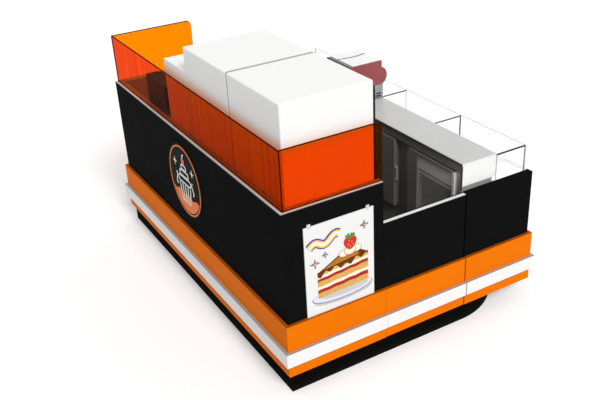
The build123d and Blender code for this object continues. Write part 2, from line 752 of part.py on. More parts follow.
def till():
    y = (inner_front_y + till_front_gap, inner_front_y + till_front_gap + till_depth)
    z = (counter_height, counter_height + till_drawer_height)
    save("till_case", *sheet_box(till_x, y, z, till_sheet))

    gap = till_sheet + slide_gap
    x = (till_x[0] + gap, till_x[1] - gap)
    back_y = (y[0] + gap, y[0] + gap + till_sheet)
    plate_y = (y[1] - till_front_plate, y[1])
    floor = (z[0] + gap, z[0] + gap + till_sheet)
    side_y = (back_y[1], plate_y[0])
    side_z = (floor[1], z[1] - gap - drawer_wall_drop)
    save(
        "till_drawer",
        block(x, (back_y[0], plate_y[0]), floor),
        block(x, plate_y, (floor[0], z[1] - gap)),
        block(x, back_y, side_z),
        block((x[0], x[0] + till_sheet), side_y, side_z),
        block((x[1] - till_sheet, x[1]), side_y, side_z),
    )

    low = z[1]
    top = low + terminal_height
    outline = Polyline(
        (y[0], low),
        (y[0], top),
        (y[0] + terminal_flat_depth, top),
        (y[0] + terminal_depth, low + terminal_lip),
        (y[0] + terminal_depth, low),
        close=True,
    )
    terminal = along_x(outline.edges(), till_x)
    save("till_terminal", hollow(terminal, terminal_wall, underside(terminal)))


def coffee_machine():
    right = end_x - coffee_end_distance
    x = (right - coffee_width, right)
    inside_x = (x[0] + coffee_side_thick, x[1] - coffee_side_thick)
    middle = (x[0] + x[1]) / 2
    trunk_low = worktop_height + coffee_base_height
    head_low = trunk_low + coffee_trunk_height
    head_top = head_low + coffee_head_height
    head_front = worktop_front_y - coffee_head_overhang
    head_rear = head_front + coffee_head_depth
    tray_front = worktop_front_y + coffee_front_setback
    trunk_front = tray_front + coffee_tray_depth
    group_at = (middle, tray_front + coffee_tray_depth / 2)
    group_z = (head_low - group_height, head_low)

    tray = block(x, (tray_front, trunk_front), (worktop_height, worktop_height + coffee_tray_height))
    column = block(x, (trunk_front, worktop_rear_y), (worktop_height, trunk_low))
    save(
        "coffee_base",
        hollow(tray, coffee_sheet, underside(tray)),
        hollow(column, coffee_sheet, underside(column)),
        rod("Z", group_radius, group_at, group_z),
    )

    # Seen from the side: a square head, and a trunk with a round belly at the rear
    def outline(inset, top):
        front = head_front + inset
        rear = head_rear - inset
        belly_top = head_top - coffee_belly_drop
        belly = ThreePointArc(
            (rear, belly_top), (rear + coffee_belly, (belly_top + trunk_low) / 2), (rear, trunk_low)
        )
        path = Polyline(
            (rear, trunk_low),
            (trunk_front, trunk_low),
            (trunk_front, head_low),
            (front, head_low),
            (front, top),
            (rear, top),
            (rear, belly_top),
        )
        return [*path.edges(), belly]

    lid_pivot = (head_rear - lid_pivot_inset, head_top - lid_thick / 2)
    lid_hole_radius = lid_pin_radius + pin_clearance
    lid_hole_depth = lid_pin_length + slide_gap
    far_side = along_x(outline(0, head_top), (x[0], inside_x[0]))
    far_side -= rod("X", lid_hole_radius, lid_pivot, (inside_x[0] - lid_hole_depth, inside_x[0]))
    save("coffee_side_panels", along_x(outline(0, head_top), (inside_x[1], x[1])), far_side)
    body = along_x(outline(coffee_body_inset, head_top - cup_tray_thick), inside_x)
    body_ends = body.faces().sort_by(Axis.X)
    save("coffee_body", hollow(body, coffee_sheet, [body_ends[0], body_ends[-1]]))

    top_y = (head_front + coffee_body_inset, head_rear - coffee_body_inset)
    cup_tray_x = (inside_x[1] - cup_tray_width, inside_x[1])
    cup_tray = block(cup_tray_x, top_y, (head_top - cup_tray_thick, head_top))
    cup_tray -= rod("X", lid_hole_radius, lid_pivot, (cup_tray_x[0], cup_tray_x[0] + lid_hole_depth))
    save("coffee_cup_tray", cup_tray)
    lid_x = (inside_x[0] + slide_gap, cup_tray_x[0] - lid_gap)
    lid = block(lid_x, top_y, (head_top - lid_thick, head_top))
    lid += rod("X", lid_pin_radius, lid_pivot, (inside_x[0] - lid_pin_length, lid_x[0]))
    lid += rod("X", lid_pin_radius, lid_pivot, (lid_x[1], cup_tray_x[0] + lid_pin_length))
    save("coffee_tank_lid", lid)

    bowl_z = (group_z[0] - running_gap - filter_height, group_z[0] - running_gap)
    holder = rod("Z", filter_radius, group_at, bowl_z)
    holder += rod("Z", filter_spout_radius, group_at, (bowl_z[0] - filter_spout_height, bowl_z[0]))
    grip_end = group_at[1] - filter_radius - filter_handle_length
    grip_at = (middle, (bowl_z[0] + bowl_z[1]) / 2)
    save("coffee_filter_holder", holder + rod("Y", filter_handle_radius, grip_at, (grip_end, group_at[1])))


def signs():
    sign_at = (sign_offset, counter_height - sign_drop)
    save("round_sign", rod("Y", sign_radius, sign_at, (front_y - sign_thick, front_y)))
    poster_y = (front_y + poster_corner_distance, front_y + poster_corner_distance + poster_width)
    poster_z = (band_top_z, band_top_z + poster_height)
    save("poster_board", block((end_x, end_x + poster_thick), poster_y, poster_z))


os.makedirs("parts", exist_ok=True)
plinth_and_deck()
front_counter()
screen()
bands()
gate()
rear_counter()
display_glass()
cabinet_doors()
ovens()
boiler()
till()
coffee_machine()
signs()
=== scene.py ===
# %% [markdown]
# # A walk-in food kiosk
# The kiosk is a ring of black panels round a working aisle. A serving counter with an orange screen makes
# its front, a cold counter with a low glass display its rear, and a gate its near end. The shapes are
# packed from CAD already, so this lesson dresses them: each step gives one group of parts its real
# finish, eased edges and small fittings. Everything is in metres and in the CAD frame, so a piece goes
# where the CAD says it is.

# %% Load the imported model
from itertools import count
from math import cos, pi, radians, sin

import bmesh
import bpy
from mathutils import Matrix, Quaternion, Vector


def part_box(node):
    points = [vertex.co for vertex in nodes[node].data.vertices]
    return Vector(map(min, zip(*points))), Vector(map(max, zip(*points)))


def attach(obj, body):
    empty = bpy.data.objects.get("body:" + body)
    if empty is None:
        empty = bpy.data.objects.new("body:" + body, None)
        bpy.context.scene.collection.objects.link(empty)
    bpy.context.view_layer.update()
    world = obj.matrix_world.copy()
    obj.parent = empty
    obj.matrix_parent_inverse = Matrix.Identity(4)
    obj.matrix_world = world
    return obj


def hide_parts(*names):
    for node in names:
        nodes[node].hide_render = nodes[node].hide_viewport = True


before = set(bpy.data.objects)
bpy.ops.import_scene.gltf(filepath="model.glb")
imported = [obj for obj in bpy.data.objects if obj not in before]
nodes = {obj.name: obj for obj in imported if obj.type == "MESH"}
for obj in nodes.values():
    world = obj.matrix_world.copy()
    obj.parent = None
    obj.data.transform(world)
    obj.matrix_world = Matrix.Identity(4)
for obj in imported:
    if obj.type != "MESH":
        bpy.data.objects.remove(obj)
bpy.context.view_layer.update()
mm = 0.001

# %% [markdown]
# ## Camera
# The picture looks down on the gate end from the customer side. Its place, aim and lens were solved from
# the straight edges of the kiosk. The horizon leans a little, so the camera is turned about its own axis
# last.

# %% Camera
camera_place = Vector((4.3265, -2.4468, 3.0408))
camera_aim = Vector((0.4478, -0.3076, 0.7))
camera_lean = radians(-3.22)
lens_length = 49.83

camera_data = bpy.data.cameras.new("studio_camera")
camera_data.lens = lens_length
camera_data.sensor_width = 36.0
camera = bpy.data.objects.new("studio_camera", camera_data)
camera.location = camera_place
camera.rotation_mode = "QUATERNION"
aimed = (camera_aim - camera_place).to_track_quat("-Z", "Y")
camera.rotation_quaternion = aimed @ Quaternion((0, 0, 1), camera_lean)
bpy.context.scene.collection.objects.link(camera)
bpy.context.scene.camera = camera
bpy.context.scene.view_settings.view_transform = "Standard"
print(f"camera {(camera_aim - camera_place).length:.2f} m from its aim")

# %% [markdown]
# ## Nodes and colours
# A shader is a small network of nodes. One function adds a node, sets its properties and fills its
# sockets with numbers or with links, so a network reads like a list. Colours are picked on screen as sRGB
# hex values, but light adds up in linear values, so a second function turns one into the other. A third
# starts a new material.

# %% Three helpers for shaders
def add(tree, kind, inputs=None, **settings):
    """Adds a node; inputs are numbers or the outputs of other nodes."""
    node = tree.nodes.new(kind)
    for name, value in settings.items():
        setattr(node, name, value)
    for name, value in (inputs or {}).items():
        if isinstance(value, bpy.types.NodeSocket):
            tree.links.new(value, node.inputs[name])
        else:
            node.inputs[name].default_value = value
    return node


def linear(code):
    """An sRGB hex colour as linear red, green, blue and alpha."""
    channels = [int(code[at:at + 2], 16) / 255 for at in (1, 3, 5)]
    return [c / 12.92 if c <= 0.04045 else ((c + 0.055) / 1.055) ** 2.4 for c in channels] + [1.0]


def blank(name):
    """A new material, with its network and its one shader."""
    material = bpy.data.materials.new(name)
    material.use_nodes = True
    tree = material.node_tree
    return material, tree, tree.nodes["Principled BSDF"]


print("mid grey #808080 is", round(linear("#808080")[0], 3), "in linear light")

# %% [markdown]
# ## Studio
# The kiosk stands on seamless white paper. The world gives an even, soft light from all sides. Camera,
# mirror and glass rays see it as plain white instead, so the background is white without more light on
# the kiosk. In the same way the paper looks whiter to the eye than to the kiosk, but keeps the soft
# shadow at the kiosk's foot. One large lamp beyond the gate end makes the end brighter than the long
# front. It is a sun with a wide angle, so it lights the whole floor alike and its shadow has a soft edge.

# %% World
def looked_at(tree):
    """1 for what the camera sees, straight or by way of a mirror or a glass, otherwise 0."""
    rays = add(tree, "ShaderNodeLightPath").outputs
    seen = rays["Is Camera Ray"]
    for way in ("Is Glossy Ray", "Is Transmission Ray"):
        seen = add(tree, "ShaderNodeMath", {0: seen, 1: rays[way]}, operation="MAXIMUM").outputs[0]
    # Light that a matt surface gathers through the screen has a diffuse bounce behind it, and doesn't count
    bounces = {0: rays["Diffuse Depth"], 1: 0.5}
    direct = add(tree, "ShaderNodeMath", bounces, operation="LESS_THAN").outputs[0]
    return add(tree, "ShaderNodeMath", {0: seen, 1: direct}, operation="MULTIPLY").outputs[0]


sky_light = 0.52
world = bpy.data.worlds.new("white_studio")
bpy.context.scene.world = world
world.use_nodes = True
tree = world.node_tree
strength = add(tree, "ShaderNodeMapRange", {"Value": looked_at(tree), "To Min": sky_light, "To Max": 1.0})
background = tree.nodes["Background"]
background.inputs["Color"].default_value = linear("#FFFFFF")
tree.links.new(strength.outputs["Result"], background.inputs["Strength"])
print("sky light", sky_light)

# %% Floor
floor_size, floor_drop, floor_lift = 60.0, 0.5 * mm, 0.12
white_paper, tree, shader = blank("white_paper_floor")
papers = {"Fac": looked_at(tree), "Color1": linear("#CDCDCD"), "Color2": linear("#FFFFFF")}
tree.links.new(add(tree, "ShaderNodeMixRGB", papers).outputs["Color"], shader.inputs["Base Color"])
shader.inputs["Roughness"].default_value = 0.9
shader.inputs["Emission Color"].default_value = linear("#FFFFFF")
lift = add(tree, "ShaderNodeMapRange", {"Value": looked_at(tree), "To Min": 0.0, "To Max": floor_lift})
tree.links.new(lift.outputs["Result"], shader.inputs["Emission Strength"])
shape = bmesh.new()
bmesh.ops.create_grid(shape, x_segments=1, y_segments=1, size=floor_size / 2)
floor_mesh = bpy.data.meshes.new("studio_floor")
shape.to_mesh(floor_mesh)
shape.free()
floor = bpy.data.objects.new("studio_floor", floor_mesh)
floor.location.z = -floor_drop
floor_mesh.materials.append(white_paper)
bpy.context.scene.collection.objects.link(floor)
print("floor", floor_size, "m wide")

# %% Lamp
lamp_turn, lamp_rise, lamp_distance = radians(-6), radians(43), 6.0
lamp_spread, lamp_strength = radians(24), 2.1
lamp_data = bpy.data.lights.new("end_softbox", "SUN")
lamp_data.angle = lamp_spread
lamp_data.energy = lamp_strength
lamp = bpy.data.objects.new("end_softbox", lamp_data)
towards = Vector((cos(lamp_turn) * cos(lamp_rise), sin(lamp_turn) * cos(lamp_rise), sin(lamp_rise)))
lamp.location = towards * lamp_distance
lamp.rotation_mode = "QUATERNION"
lamp.rotation_quaternion = (-towards).to_track_quat("-Z", "Y")
bpy.context.scene.collection.objects.link(lamp)
print("lamp towards", [round(v, 2) for v in towards])

# %% [markdown]
# ## Hard finishes
# Most of the kiosk is board or sheet metal with a thin hard coat. No such coat is perfectly even: its
# colour drifts a little over centimetres or decimetres, its gloss follows, and its surface has a fine
# grain from the press or the spray gun. One function builds that from two noises. Sizes are real
# millimetres, turned into texture scales. Grain that is finer than the picture can show is drawn a few
# millimetres wide instead. A usual coat has a specular level of 0.5; the picture shows hardly any mirror
# light, so many coats here get less.

# %% A coat with patches and grain
def finish(name, colours, rough, patch=260.0, grain=4.0, relief=0.02, stretch=(1, 1, 1), specular=0.5,
           metal=0.0):
    """A hard surface: two near colours in patches, uneven gloss and a fine grain; sizes in millimetres."""
    material, tree, shader = blank(name)
    shader.inputs["Specular IOR Level"].default_value = specular
    shader.inputs["Metallic"].default_value = metal
    place = add(tree, "ShaderNodeTexCoord").outputs["Object"]
    drawn = add(tree, "ShaderNodeMapping", {"Vector": place, "Scale": stretch}).outputs["Vector"]
    drift = {"Vector": drawn, "Scale": 1000 / patch, "Detail": 4.0}
    patches = add(tree, "ShaderNodeTexNoise", drift).outputs["Fac"]
    mixed = {"Fac": patches, "Color1": linear(colours[0]), "Color2": linear(colours[1])}
    colour = add(tree, "ShaderNodeMixRGB", mixed, label="colour").outputs["Color"]
    span = {"Value": patches, "From Min": 0.3, "From Max": 0.7, "To Min": rough[0], "To Max": rough[1]}
    gloss = add(tree, "ShaderNodeMapRange", span).outputs["Result"]
    pores = {"Vector": drawn, "Scale": 1000 / grain, "Detail": 2.0}
    fine = add(tree, "ShaderNodeTexNoise", pores).outputs["Fac"]
    bump = add(tree, "ShaderNodeBump", {"Height": fine, "Distance": relief * mm}).outputs["Normal"]
    for socket, value in (("Base Color", colour), ("Roughness", gloss), ("Normal", bump)):
        tree.links.new(value, shader.inputs[socket])
    return material


def overlay(material, share, code):
    """Lays another colour over a finish; share is the output of a node, from 0 to 1."""
    tree = material.node_tree
    paint = next(node for node in tree.nodes if node.label == "colour").outputs["Color"]
    mixed = add(tree, "ShaderNodeMixRGB", {"Fac": share, "Color1": paint, "Color2": linear(code)})
    tree.links.new(mixed.outputs["Color"], tree.nodes["Principled BSDF"].inputs["Base Color"])


# %% Dress a CAD node
sharp_turn, weld_reach = radians(35), 0.01 * mm


def dress(coat, *names, edge=0.0):
    """Gives CAD nodes a finish and, where edge is set, eased edges of that width in millimetres."""
    for name in names:
        node = nodes[name]
        for held in node.material_slots:
            held.material = coat
        if edge:
            weld = node.modifiers.new("joined_facets", "WELD")
            weld.merge_threshold = weld_reach
            bevel = node.modifiers.new("eased_edges", "BEVEL")
            bevel.width = edge * mm
            bevel.segments = 2
            bevel.limit_method = "ANGLE"
            bevel.angle_limit = sharp_turn
            even = node.modifiers.new("even_normals", "WEIGHTED_NORMAL")
            even.keep_sharp = True
    print(coat.name, "on", ", ".join(names))


# %% [markdown]
# ## Black body
# The panels are thick boards faced with super-matt laminate, pressed between textured plates. It gives
# the eye a deep black with almost no gloss, so its specular level is far below that of a plain varnish.
# Real board edges are eased with a file, and that thin line of light is what makes a box look made, so
# each panel gets a bevel.

# %% Black laminate and kickboard paint
black_laminate = finish("black_matt_laminate", ("#101011", "#161616"), (0.55, 0.66), specular=0.004)
black_panels = "front_panel", "counter_end_panels", "rear_panel", "rear_end_panels", "gate_leaf"
dress(black_laminate, *black_panels, edge=1.2)

# The kickboard is brushed with flat paint; feet and mops leave a pale haze along its foot
kickboard_paint = finish("black_kickboard_paint", ("#0A0A0A", "#0F0F0F"), (0.6, 0.75), grain=7, relief=0.05,
                         specular=0.004)
haze_height, haze_share = 50 * mm, 0.02
tree = kickboard_paint.node_tree
place = add(tree, "ShaderNodeTexCoord").outputs["Object"]
height = add(tree, "ShaderNodeSeparateXYZ", {"Vector": place}).outputs["Z"]
fade = {"Value": height, "From Min": 0.0, "From Max": haze_height, "To Min": haze_share, "To Max": 0.0}
overlay(kickboard_paint, add(tree, "ShaderNodeMapRange", fade).outputs["Result"], "#8C8880")
dress(kickboard_paint, "plinth")

# %% [markdown]
# ## Inside floor
# The aisle is laid with sheet vinyl: dark grey PVC with darker chips in it, rolled smooth and a little
# shiny. Voronoi cells make the chips. Real chips are 2 to 4 mm wide; here they are 9 mm, so that they
# still show.

# %% Sheet vinyl
chip_width = 9.0
vinyl = finish("grey_sheet_vinyl", ("#4C4E4E", "#585A59"), (0.38, 0.5), patch=400, grain=6, relief=0.03)
tree = vinyl.node_tree
place = add(tree, "ShaderNodeTexCoord").outputs["Object"]
chips = add(tree, "ShaderNodeTexVoronoi", {"Vector": place, "Scale": 1000 / chip_width}).outputs["Color"]
dark = add(tree, "ShaderNodeMapRange", {"Value": chips, "From Min": 0.72, "From Max": 0.78, "To Max": 0.45})
overlay(vinyl, dark.outputs["Result"], "#2E3031")
dress(vinyl, "floor_deck")

# %% [markdown]
# ## Building pieces
# Some parts look better as new meshes than as CAD solids with a bevel: long bands that turn a corner
# without a seam, or sheets whose cut rim differs from their faces. A mesh is drawn as flat outlines given
# a thickness. The helpers below draw a box, a plate from an outline, a frame between two outlines and a
# skin over a stack of rings, and then turn them into a piece that rides on a body of the kiosk.

# %% Outlines in space
def on_plan(u, v, depth):
    """An outline seen from above; depth is height."""
    return Vector((u, v, depth))


def on_front(u, v, depth):
    """An outline seen from the customer side; depth is Y."""
    return Vector((u, depth, v))


def on_end(u, v, depth):
    """An outline seen from the gate end; depth is X."""
    return Vector((depth, u, v))


def rectangle(left, right, bottom, top):
    return [(left, bottom), (right, bottom), (right, top), (left, top)]


def arc(centre, radius, start, end, steps):
    """Points on a circle, from one angle in degrees to another."""
    turns = [radians(start + (end - start) * step / steps) for step in range(steps + 1)]
    return [(centre[0] + radius * cos(turn), centre[1] + radius * sin(turn)) for turn in turns]


def rounded(left, right, bottom, top, radius):
    """A rectangle with round corners."""
    corners = ((right - radius, bottom + radius, -90), (right - radius, top - radius, 0),
               (left + radius, top - radius, 90), (left + radius, bottom + radius, 180))
    return [point for u, v, start in corners for point in arc((u, v), radius, start, start + 90, 5)]


print("a rounded outline has", len(rounded(0, 1, 0, 1, 0.1)), "points")


# %% Solid forms
def add_sides(shape, one, other, coat=0):
    """Faces between two loops with equally many points; coat picks one of the piece's finishes."""
    for at in range(len(one)):
        shape.faces.new((one[at - 1], one[at], other[at], other[at - 1])).material_index = coat


def add_plate(shape, outline, near, far, place, coat=0):
    """A plate between two depths, bounded by a closed outline."""
    back, front = [[shape.verts.new(place(u, v, depth)) for u, v in outline] for depth in (near, far)]
    for face in (back, front[::-1]):
        shape.faces.new(face).material_index = coat
    add_sides(shape, back, front, coat)


def add_frame(shape, outer, inner, near, far, place):
    """A frame or ring between two closed outlines with equally many points."""
    loops = [[shape.verts.new(place(u, v, depth)) for u, v in line]
             for line in (outer, inner) for depth in (near, far)]
    for first, second in ((0, 1), (1, 3), (3, 2), (2, 0)):
        add_sides(shape, loops[first], loops[second])


def add_rings(shape, rings, coat=0):
    """A skin over a stack of rings with equally many points, closed at both ends."""
    loops = [[shape.verts.new(point) for point in ring] for ring in rings]
    for lower, upper in zip(loops, loops[1:]):
        add_sides(shape, lower, upper, coat)
    for loop in (loops[0], loops[-1]):
        shape.faces.new(loop).material_index = coat


def add_box(shape, low, high):
    """A box between two corners."""
    add_plate(shape, rectangle(low[0], high[0], low[1], high[1]), low[2], high[2], on_plan)


# %% From mesh to piece
def ease(shape, width, rounds=2):
    """Rounds every sharp edge."""
    sharp = [edge for edge in shape.edges if edge.is_manifold and edge.calc_face_angle() > sharp_turn]
    bmesh.ops.bevel(shape, geom=sharp, offset=width, segments=rounds, profile=0.5, affect="EDGES")


def build(name, shape, coats, body="kiosk", slot=None, stands_for=()):
    """Makes a piece of the kiosk from a mesh; it rides on a body and may stand for CAD nodes."""
    bmesh.ops.recalc_face_normals(shape, faces=shape.faces)
    mesh = bpy.data.meshes.new(name)
    shape.to_mesh(mesh)
    shape.free()
    mesh.shade_smooth()
    mesh.set_sharp_from_angle(angle=radians(50))
    for coat in coats:
        mesh.materials.append(coat)
    piece = bpy.data.objects.new(name, mesh)
    bpy.context.scene.collection.objects.link(piece)
    even = piece.modifiers.new("even_normals", "WEIGHTED_NORMAL")
    even.keep_sharp = True
    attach(piece, body)
    if stands_for:
        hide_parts(*stands_for)
    print(name, len(mesh.polygons), "faces on", body)
    return piece


# %% [markdown]
# ## Orange and white bands
# Three painted boards run round the kiosk and turn its corners with a mitre, so no seam shows. Each is
# one C-shaped outline, open at the gate, which carries its own lengths. The paint is sprayed satin
# lacquer: a faint orange peel, a soft highlight and a strong even colour. The narrow upward ledges are
# painted much darker, as painted shade for the light that the panel above takes from them. The shader
# tells a ledge from a side by the direction that a face looks in.

# %% Lacquers
def shade_by_slope(material, slopes, shares, code):
    """Lays a colour over a finish by how far up a face looks: one share for each of two slopes."""
    tree = material.node_tree
    facing = add(tree, "ShaderNodeNewGeometry").outputs["Normal"]
    up = add(tree, "ShaderNodeSeparateXYZ", {"Vector": facing}).outputs["Z"]
    span = dict(zip(("From Min", "From Max", "To Min", "To Max"), (*slopes, *shares)))
    share = add(tree, "ShaderNodeMapRange", {"Value": up, **span}).outputs["Result"]
    overlay(material, share, code)


orange_lacquer = finish("orange_satin_lacquer", ("#F07603", "#F67B06"), (0.4, 0.5), grain=6, relief=0.04,
                        specular=0.02)
white_lacquer = finish("white_satin_lacquer", ("#F3F3F1", "#F8F8F6"), (0.36, 0.46), grain=6, relief=0.04,
                       specular=0.25)
# The painted shade on the upward ledges takes 57 % of the orange and 62 % of the white
ledge_shade_slopes = 0.5, 0.95
shade_by_slope(orange_lacquer, ledge_shade_slopes, (0.0, 0.57), "#000000")
shade_by_slope(white_lacquer, ledge_shade_slopes, (0.0, 0.62), "#000000")
dress(orange_lacquer, "gate_orange_bands", edge=1.2)
dress(white_lacquer, "gate_white_band", edge=1.2)

# %% Bands
end_x, front_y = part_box("front_panel")[1].x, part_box("front_panel")[0].y
rear_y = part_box("rear_panel")[1].y
counter_edge_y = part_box("counter_end_panels")[1].y
rear_edge_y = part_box("cabinet_cheeks")[0].y
band_edge = 1.2 * mm


def c_outline(proud):
    """A band's outline seen from above: out along the faces and back along the panels."""
    far, front, back = end_x + proud, front_y - proud, rear_y + proud
    return [(far, counter_edge_y), (far, front), (-far, front), (-far, back), (far, back),
            (far, rear_edge_y), (end_x, rear_edge_y), (end_x, rear_y), (-end_x, rear_y),
            (-end_x, front_y), (end_x, front_y), (end_x, counter_edge_y)]


orange_low, orange_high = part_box("orange_bands")
white_low, white_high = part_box("white_bands")
orange = orange_high.x, orange_lacquer, "orange_paint", "orange_bands"
white = white_high.x, white_lacquer, "white_paint", "white_bands"
for name, foot, top, (box_x, coat, slot, node) in (
    ("lower_orange_band", orange_low.z, white_low.z, orange),
    ("upper_orange_band", white_high.z, orange_high.z, orange),
    ("round_white_band", white_low.z, white_high.z, white),
):
    shape = bmesh.new()
    add_plate(shape, c_outline(box_x - end_x), foot, top, on_plan)
    ease(shape, band_edge)
    build(name, shape, [coat], slot=slot, stands_for=[node])

# %% [markdown]
# ## Pale trims
# Flat aluminium strips cover the panel tops and hold the screen, and one caps the gate. They are
# powder-coated, warm grey under the screen and white on the gate, and look chalky rather than metallic.
# Their narrow sides are black like the panels below them, so only a thin pale line shows from afar.

# %% Coated strips
strip_sheen = {"patch": 120, "grain": 10, "relief": 0.01, "stretch": (0.25, 1, 1), "specular": 0.25}
for name, colours, node in (
    ("warm_grey_coated_aluminium", ("#CFC7BE", "#D5CDC4"), "screen_strips"),
    ("white_coated_aluminium", ("#EEEEEC", "#F2F2F0"), "gate_cap"),
):
    strip_coat = finish(name, colours, (0.4, 0.5), **strip_sheen)
    shade_by_slope(strip_coat, (0.4, 0.8), (1.0, 0.0), "#161616")
    dress(strip_coat, node, edge=0.6)

# %% [markdown]
# ## Orange screen
# The screen is cast acrylic, 8 mm thick and dyed through: white seen through one sheet turns amber,
# through two nearly red. The long front sheet shows the upright streaks of its mould, some 11 mm apart;
# their darker colour is the sheet's own tone and also painted shade, which makes the front sheet darker
# than the ends. The short end sheets are almost even. Acrylic bends light by 1.49, but the sheets in the
# picture mirror next to nothing, the front one even less than the ends, so each IOR is set far lower.
# Light leaves a sheet at its rim after a long way through the dye, so cut edges look dark red-brown, and
# so does a narrow zone below the upper edge. A rubber cove closes the corner between the screen's foot
# and the counter, so that no dirt gathers there.

# %% Acrylic and its rim
streak_width, streak_height = 11.0, 900.0


def cast_acrylic(name, streak_colour, dye_colour, ior):
    """Clear dyed sheet with upright streaks."""
    material, tree, shader = blank(name)
    place = add(tree, "ShaderNodeTexCoord").outputs["Object"]
    scale = (1000 / streak_width, 1000 / streak_width, 1000 / streak_height)
    drawn = add(tree, "ShaderNodeMapping", {"Vector": place, "Scale": scale}).outputs["Vector"]
    streaks = add(tree, "ShaderNodeTexNoise", {"Vector": drawn, "Scale": 1.0, "Detail": 2.0}).outputs["Fac"]
    clear = add(tree, "ShaderNodeMapRange", {"Value": streaks, "From Min": 0.2, "From Max": 0.74})
    tints = {"Fac": clear.outputs["Result"], "Color1": linear(streak_colour), "Color2": linear(dye_colour)}
    tree.links.new(add(tree, "ShaderNodeMixRGB", tints).outputs["Color"], shader.inputs["Base Color"])
    for socket, value in (("Transmission Weight", 1.0), ("Roughness", 0.02), ("IOR", ior)):
        shader.inputs[socket].default_value = value
    return material


end_acrylic = cast_acrylic("orange_cast_acrylic", "#FC8400", "#FF8C02", 1.09)
# The front streaks are darker than the dye: the sheet's own tone, and painted shade that darkens the front
# sheet
front_shaded_acrylic = cast_acrylic("orange_streaked_shaded_acrylic", "#CE6000", "#FC8E02", 1.025)
acrylic_rim = finish("orange_acrylic_cut_rim", ("#3C0500", "#4A0800"), (0.4, 0.5), patch=40, grain=3,
                     specular=0.01)
print(front_shaded_acrylic.name, "and", end_acrylic.name, "with", acrylic_rim.name)


# %% Sheets with a cut rim
foot_sunk, sheet_edge = 0.6 * mm, 0.5 * mm


def sheet(name, outline, near, far, place, faces, rim, rim_zone, slot, node):
    """A pane whose faces and rim differ; its foot is clear and let into what it stands on."""
    shape = bmesh.new()
    foot = min(v for u, v in outline)
    sunk = [(u, v - foot_sunk if v == foot else v) for u, v in outline]
    add_plate(shape, sunk, near, far, place)
    ease(shape, sheet_edge)
    zone_foot = max(v for u, v in outline) - rim_zone
    parts = [*shape.verts, *shape.edges, *shape.faces]
    cut = {"plane_co": (0, 0, zone_foot), "plane_no": (0, 0, 1)}
    bmesh.ops.bisect_plane(shape, geom=parts, dist=weld_reach, **cut)
    bmesh.ops.recalc_face_normals(shape, faces=shape.faces)
    across = (place(0, 0, 1) - place(0, 0, 0)).normalized()
    for face in shape.faces:
        flat = abs(face.normal.dot(across)) > 0.9 and face.calc_center_median().z < zone_foot
        face.material_index = 0 if flat or face.normal.z < -0.1 else 1
    return build(name, shape, [faces, rim], slot=slot, stands_for=[node])


dark_zone, corner_radius = 4.5 * mm, 30 * mm
low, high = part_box("front_screen")
pane_thick = high.y - low.y
outline = rectangle(low.x, high.x, low.z, high.z)
sheet("front_shaded_acrylic", outline, low.y, high.y, on_front, front_shaded_acrylic, acrylic_rim, dark_zone,
      "orange_acrylic", "front_screen")
screen_low, screen_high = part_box("end_screens")
corner = (screen_high.y - corner_radius, screen_high.z - corner_radius)
outline = [(screen_low.y, screen_low.z), (screen_high.y, screen_low.z),
           *arc(corner, corner_radius, 0, 90, 8), (screen_low.y, screen_high.z)]
for name, inner in (("near_end_acrylic", screen_high.x - pane_thick), ("far_end_acrylic", screen_low.x)):
    sheet(name, outline, inner, inner + pane_thick, on_end, end_acrylic, acrylic_rim, dark_zone,
          "orange_acrylic", "end_screens")


# %% Cove at the foot
def soft_rubber(name, colours):
    """Rubber takes in the light: matt, without a highlight and slightly cloudy."""
    return finish(name, colours, (0.6, 0.72), patch=60, grain=3)


cove_gap, cove_thick, step_setback = 1 * mm, 2 * mm, 0.5 * mm
cove_rubber = soft_rubber("grey_cove_rubber", ("#B0ABA5", "#BAB5AF"))
strip_level, open_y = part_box("screen_strips")[1].z, screen_high.y
counter_low, counter_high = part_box("counter_top")
oven_low, oven_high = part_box("oven_casings")
shape = bmesh.new()
for side_x, side_y, gap, foot, top in (
    (screen_high.x - pane_thick, screen_low.y, cove_gap, strip_level, strip_level + cove_thick),
    (counter_high.x, counter_low.y, cove_gap + step_setback, counter_high.z, strip_level + cove_thick / 2),
):
    inner_x, inner_y = oven_high.x + gap, oven_low.y - gap
    outline = [(-side_x, open_y), (-side_x, side_y), (side_x, side_y), (side_x, open_y),
               (inner_x, open_y), (inner_x, inner_y), (-inner_x, inner_y), (-inner_x, open_y)]
    add_plate(shape, outline, foot, top, on_plan)
build("screen_foot_cove", shape, [cove_rubber])

# %% [markdown]
# ## Counter boards
# The serving counter is topped with dark laminate, brown-grey with a soft sheen. Behind and under it the
# carcass is melamine-faced board: pale grey where stock stands, white where food is shown. Both are
# pressed on under a textured plate, so they are hard and even, with a fine pearl grain.

# %% Laminate and melamine
def faced_board(name, colours, rough):
    """Board faced with laminate or melamine, with the grain of the press plate."""
    return finish(name, colours, rough, grain=5, relief=0.03)


dark_laminate = faced_board("dark_grey_laminate", ("#4A4846", "#565350"), (0.32, 0.45))
grey_melamine = faced_board("grey_melamine_board", ("#989897", "#A1A19F"), (0.42, 0.55))
white_melamine = faced_board("white_melamine_board", ("#F4F4F2", "#F8F8F6"), (0.4, 0.52))
dress(dark_laminate, "counter_top", edge=1.0)
dress(grey_melamine, "counter_carcass", "cabinet_carcass", "cabinet_shelves")
dress(white_melamine, "cabinet_cheeks", edge=1.0)
dress(white_melamine, "display_deck")
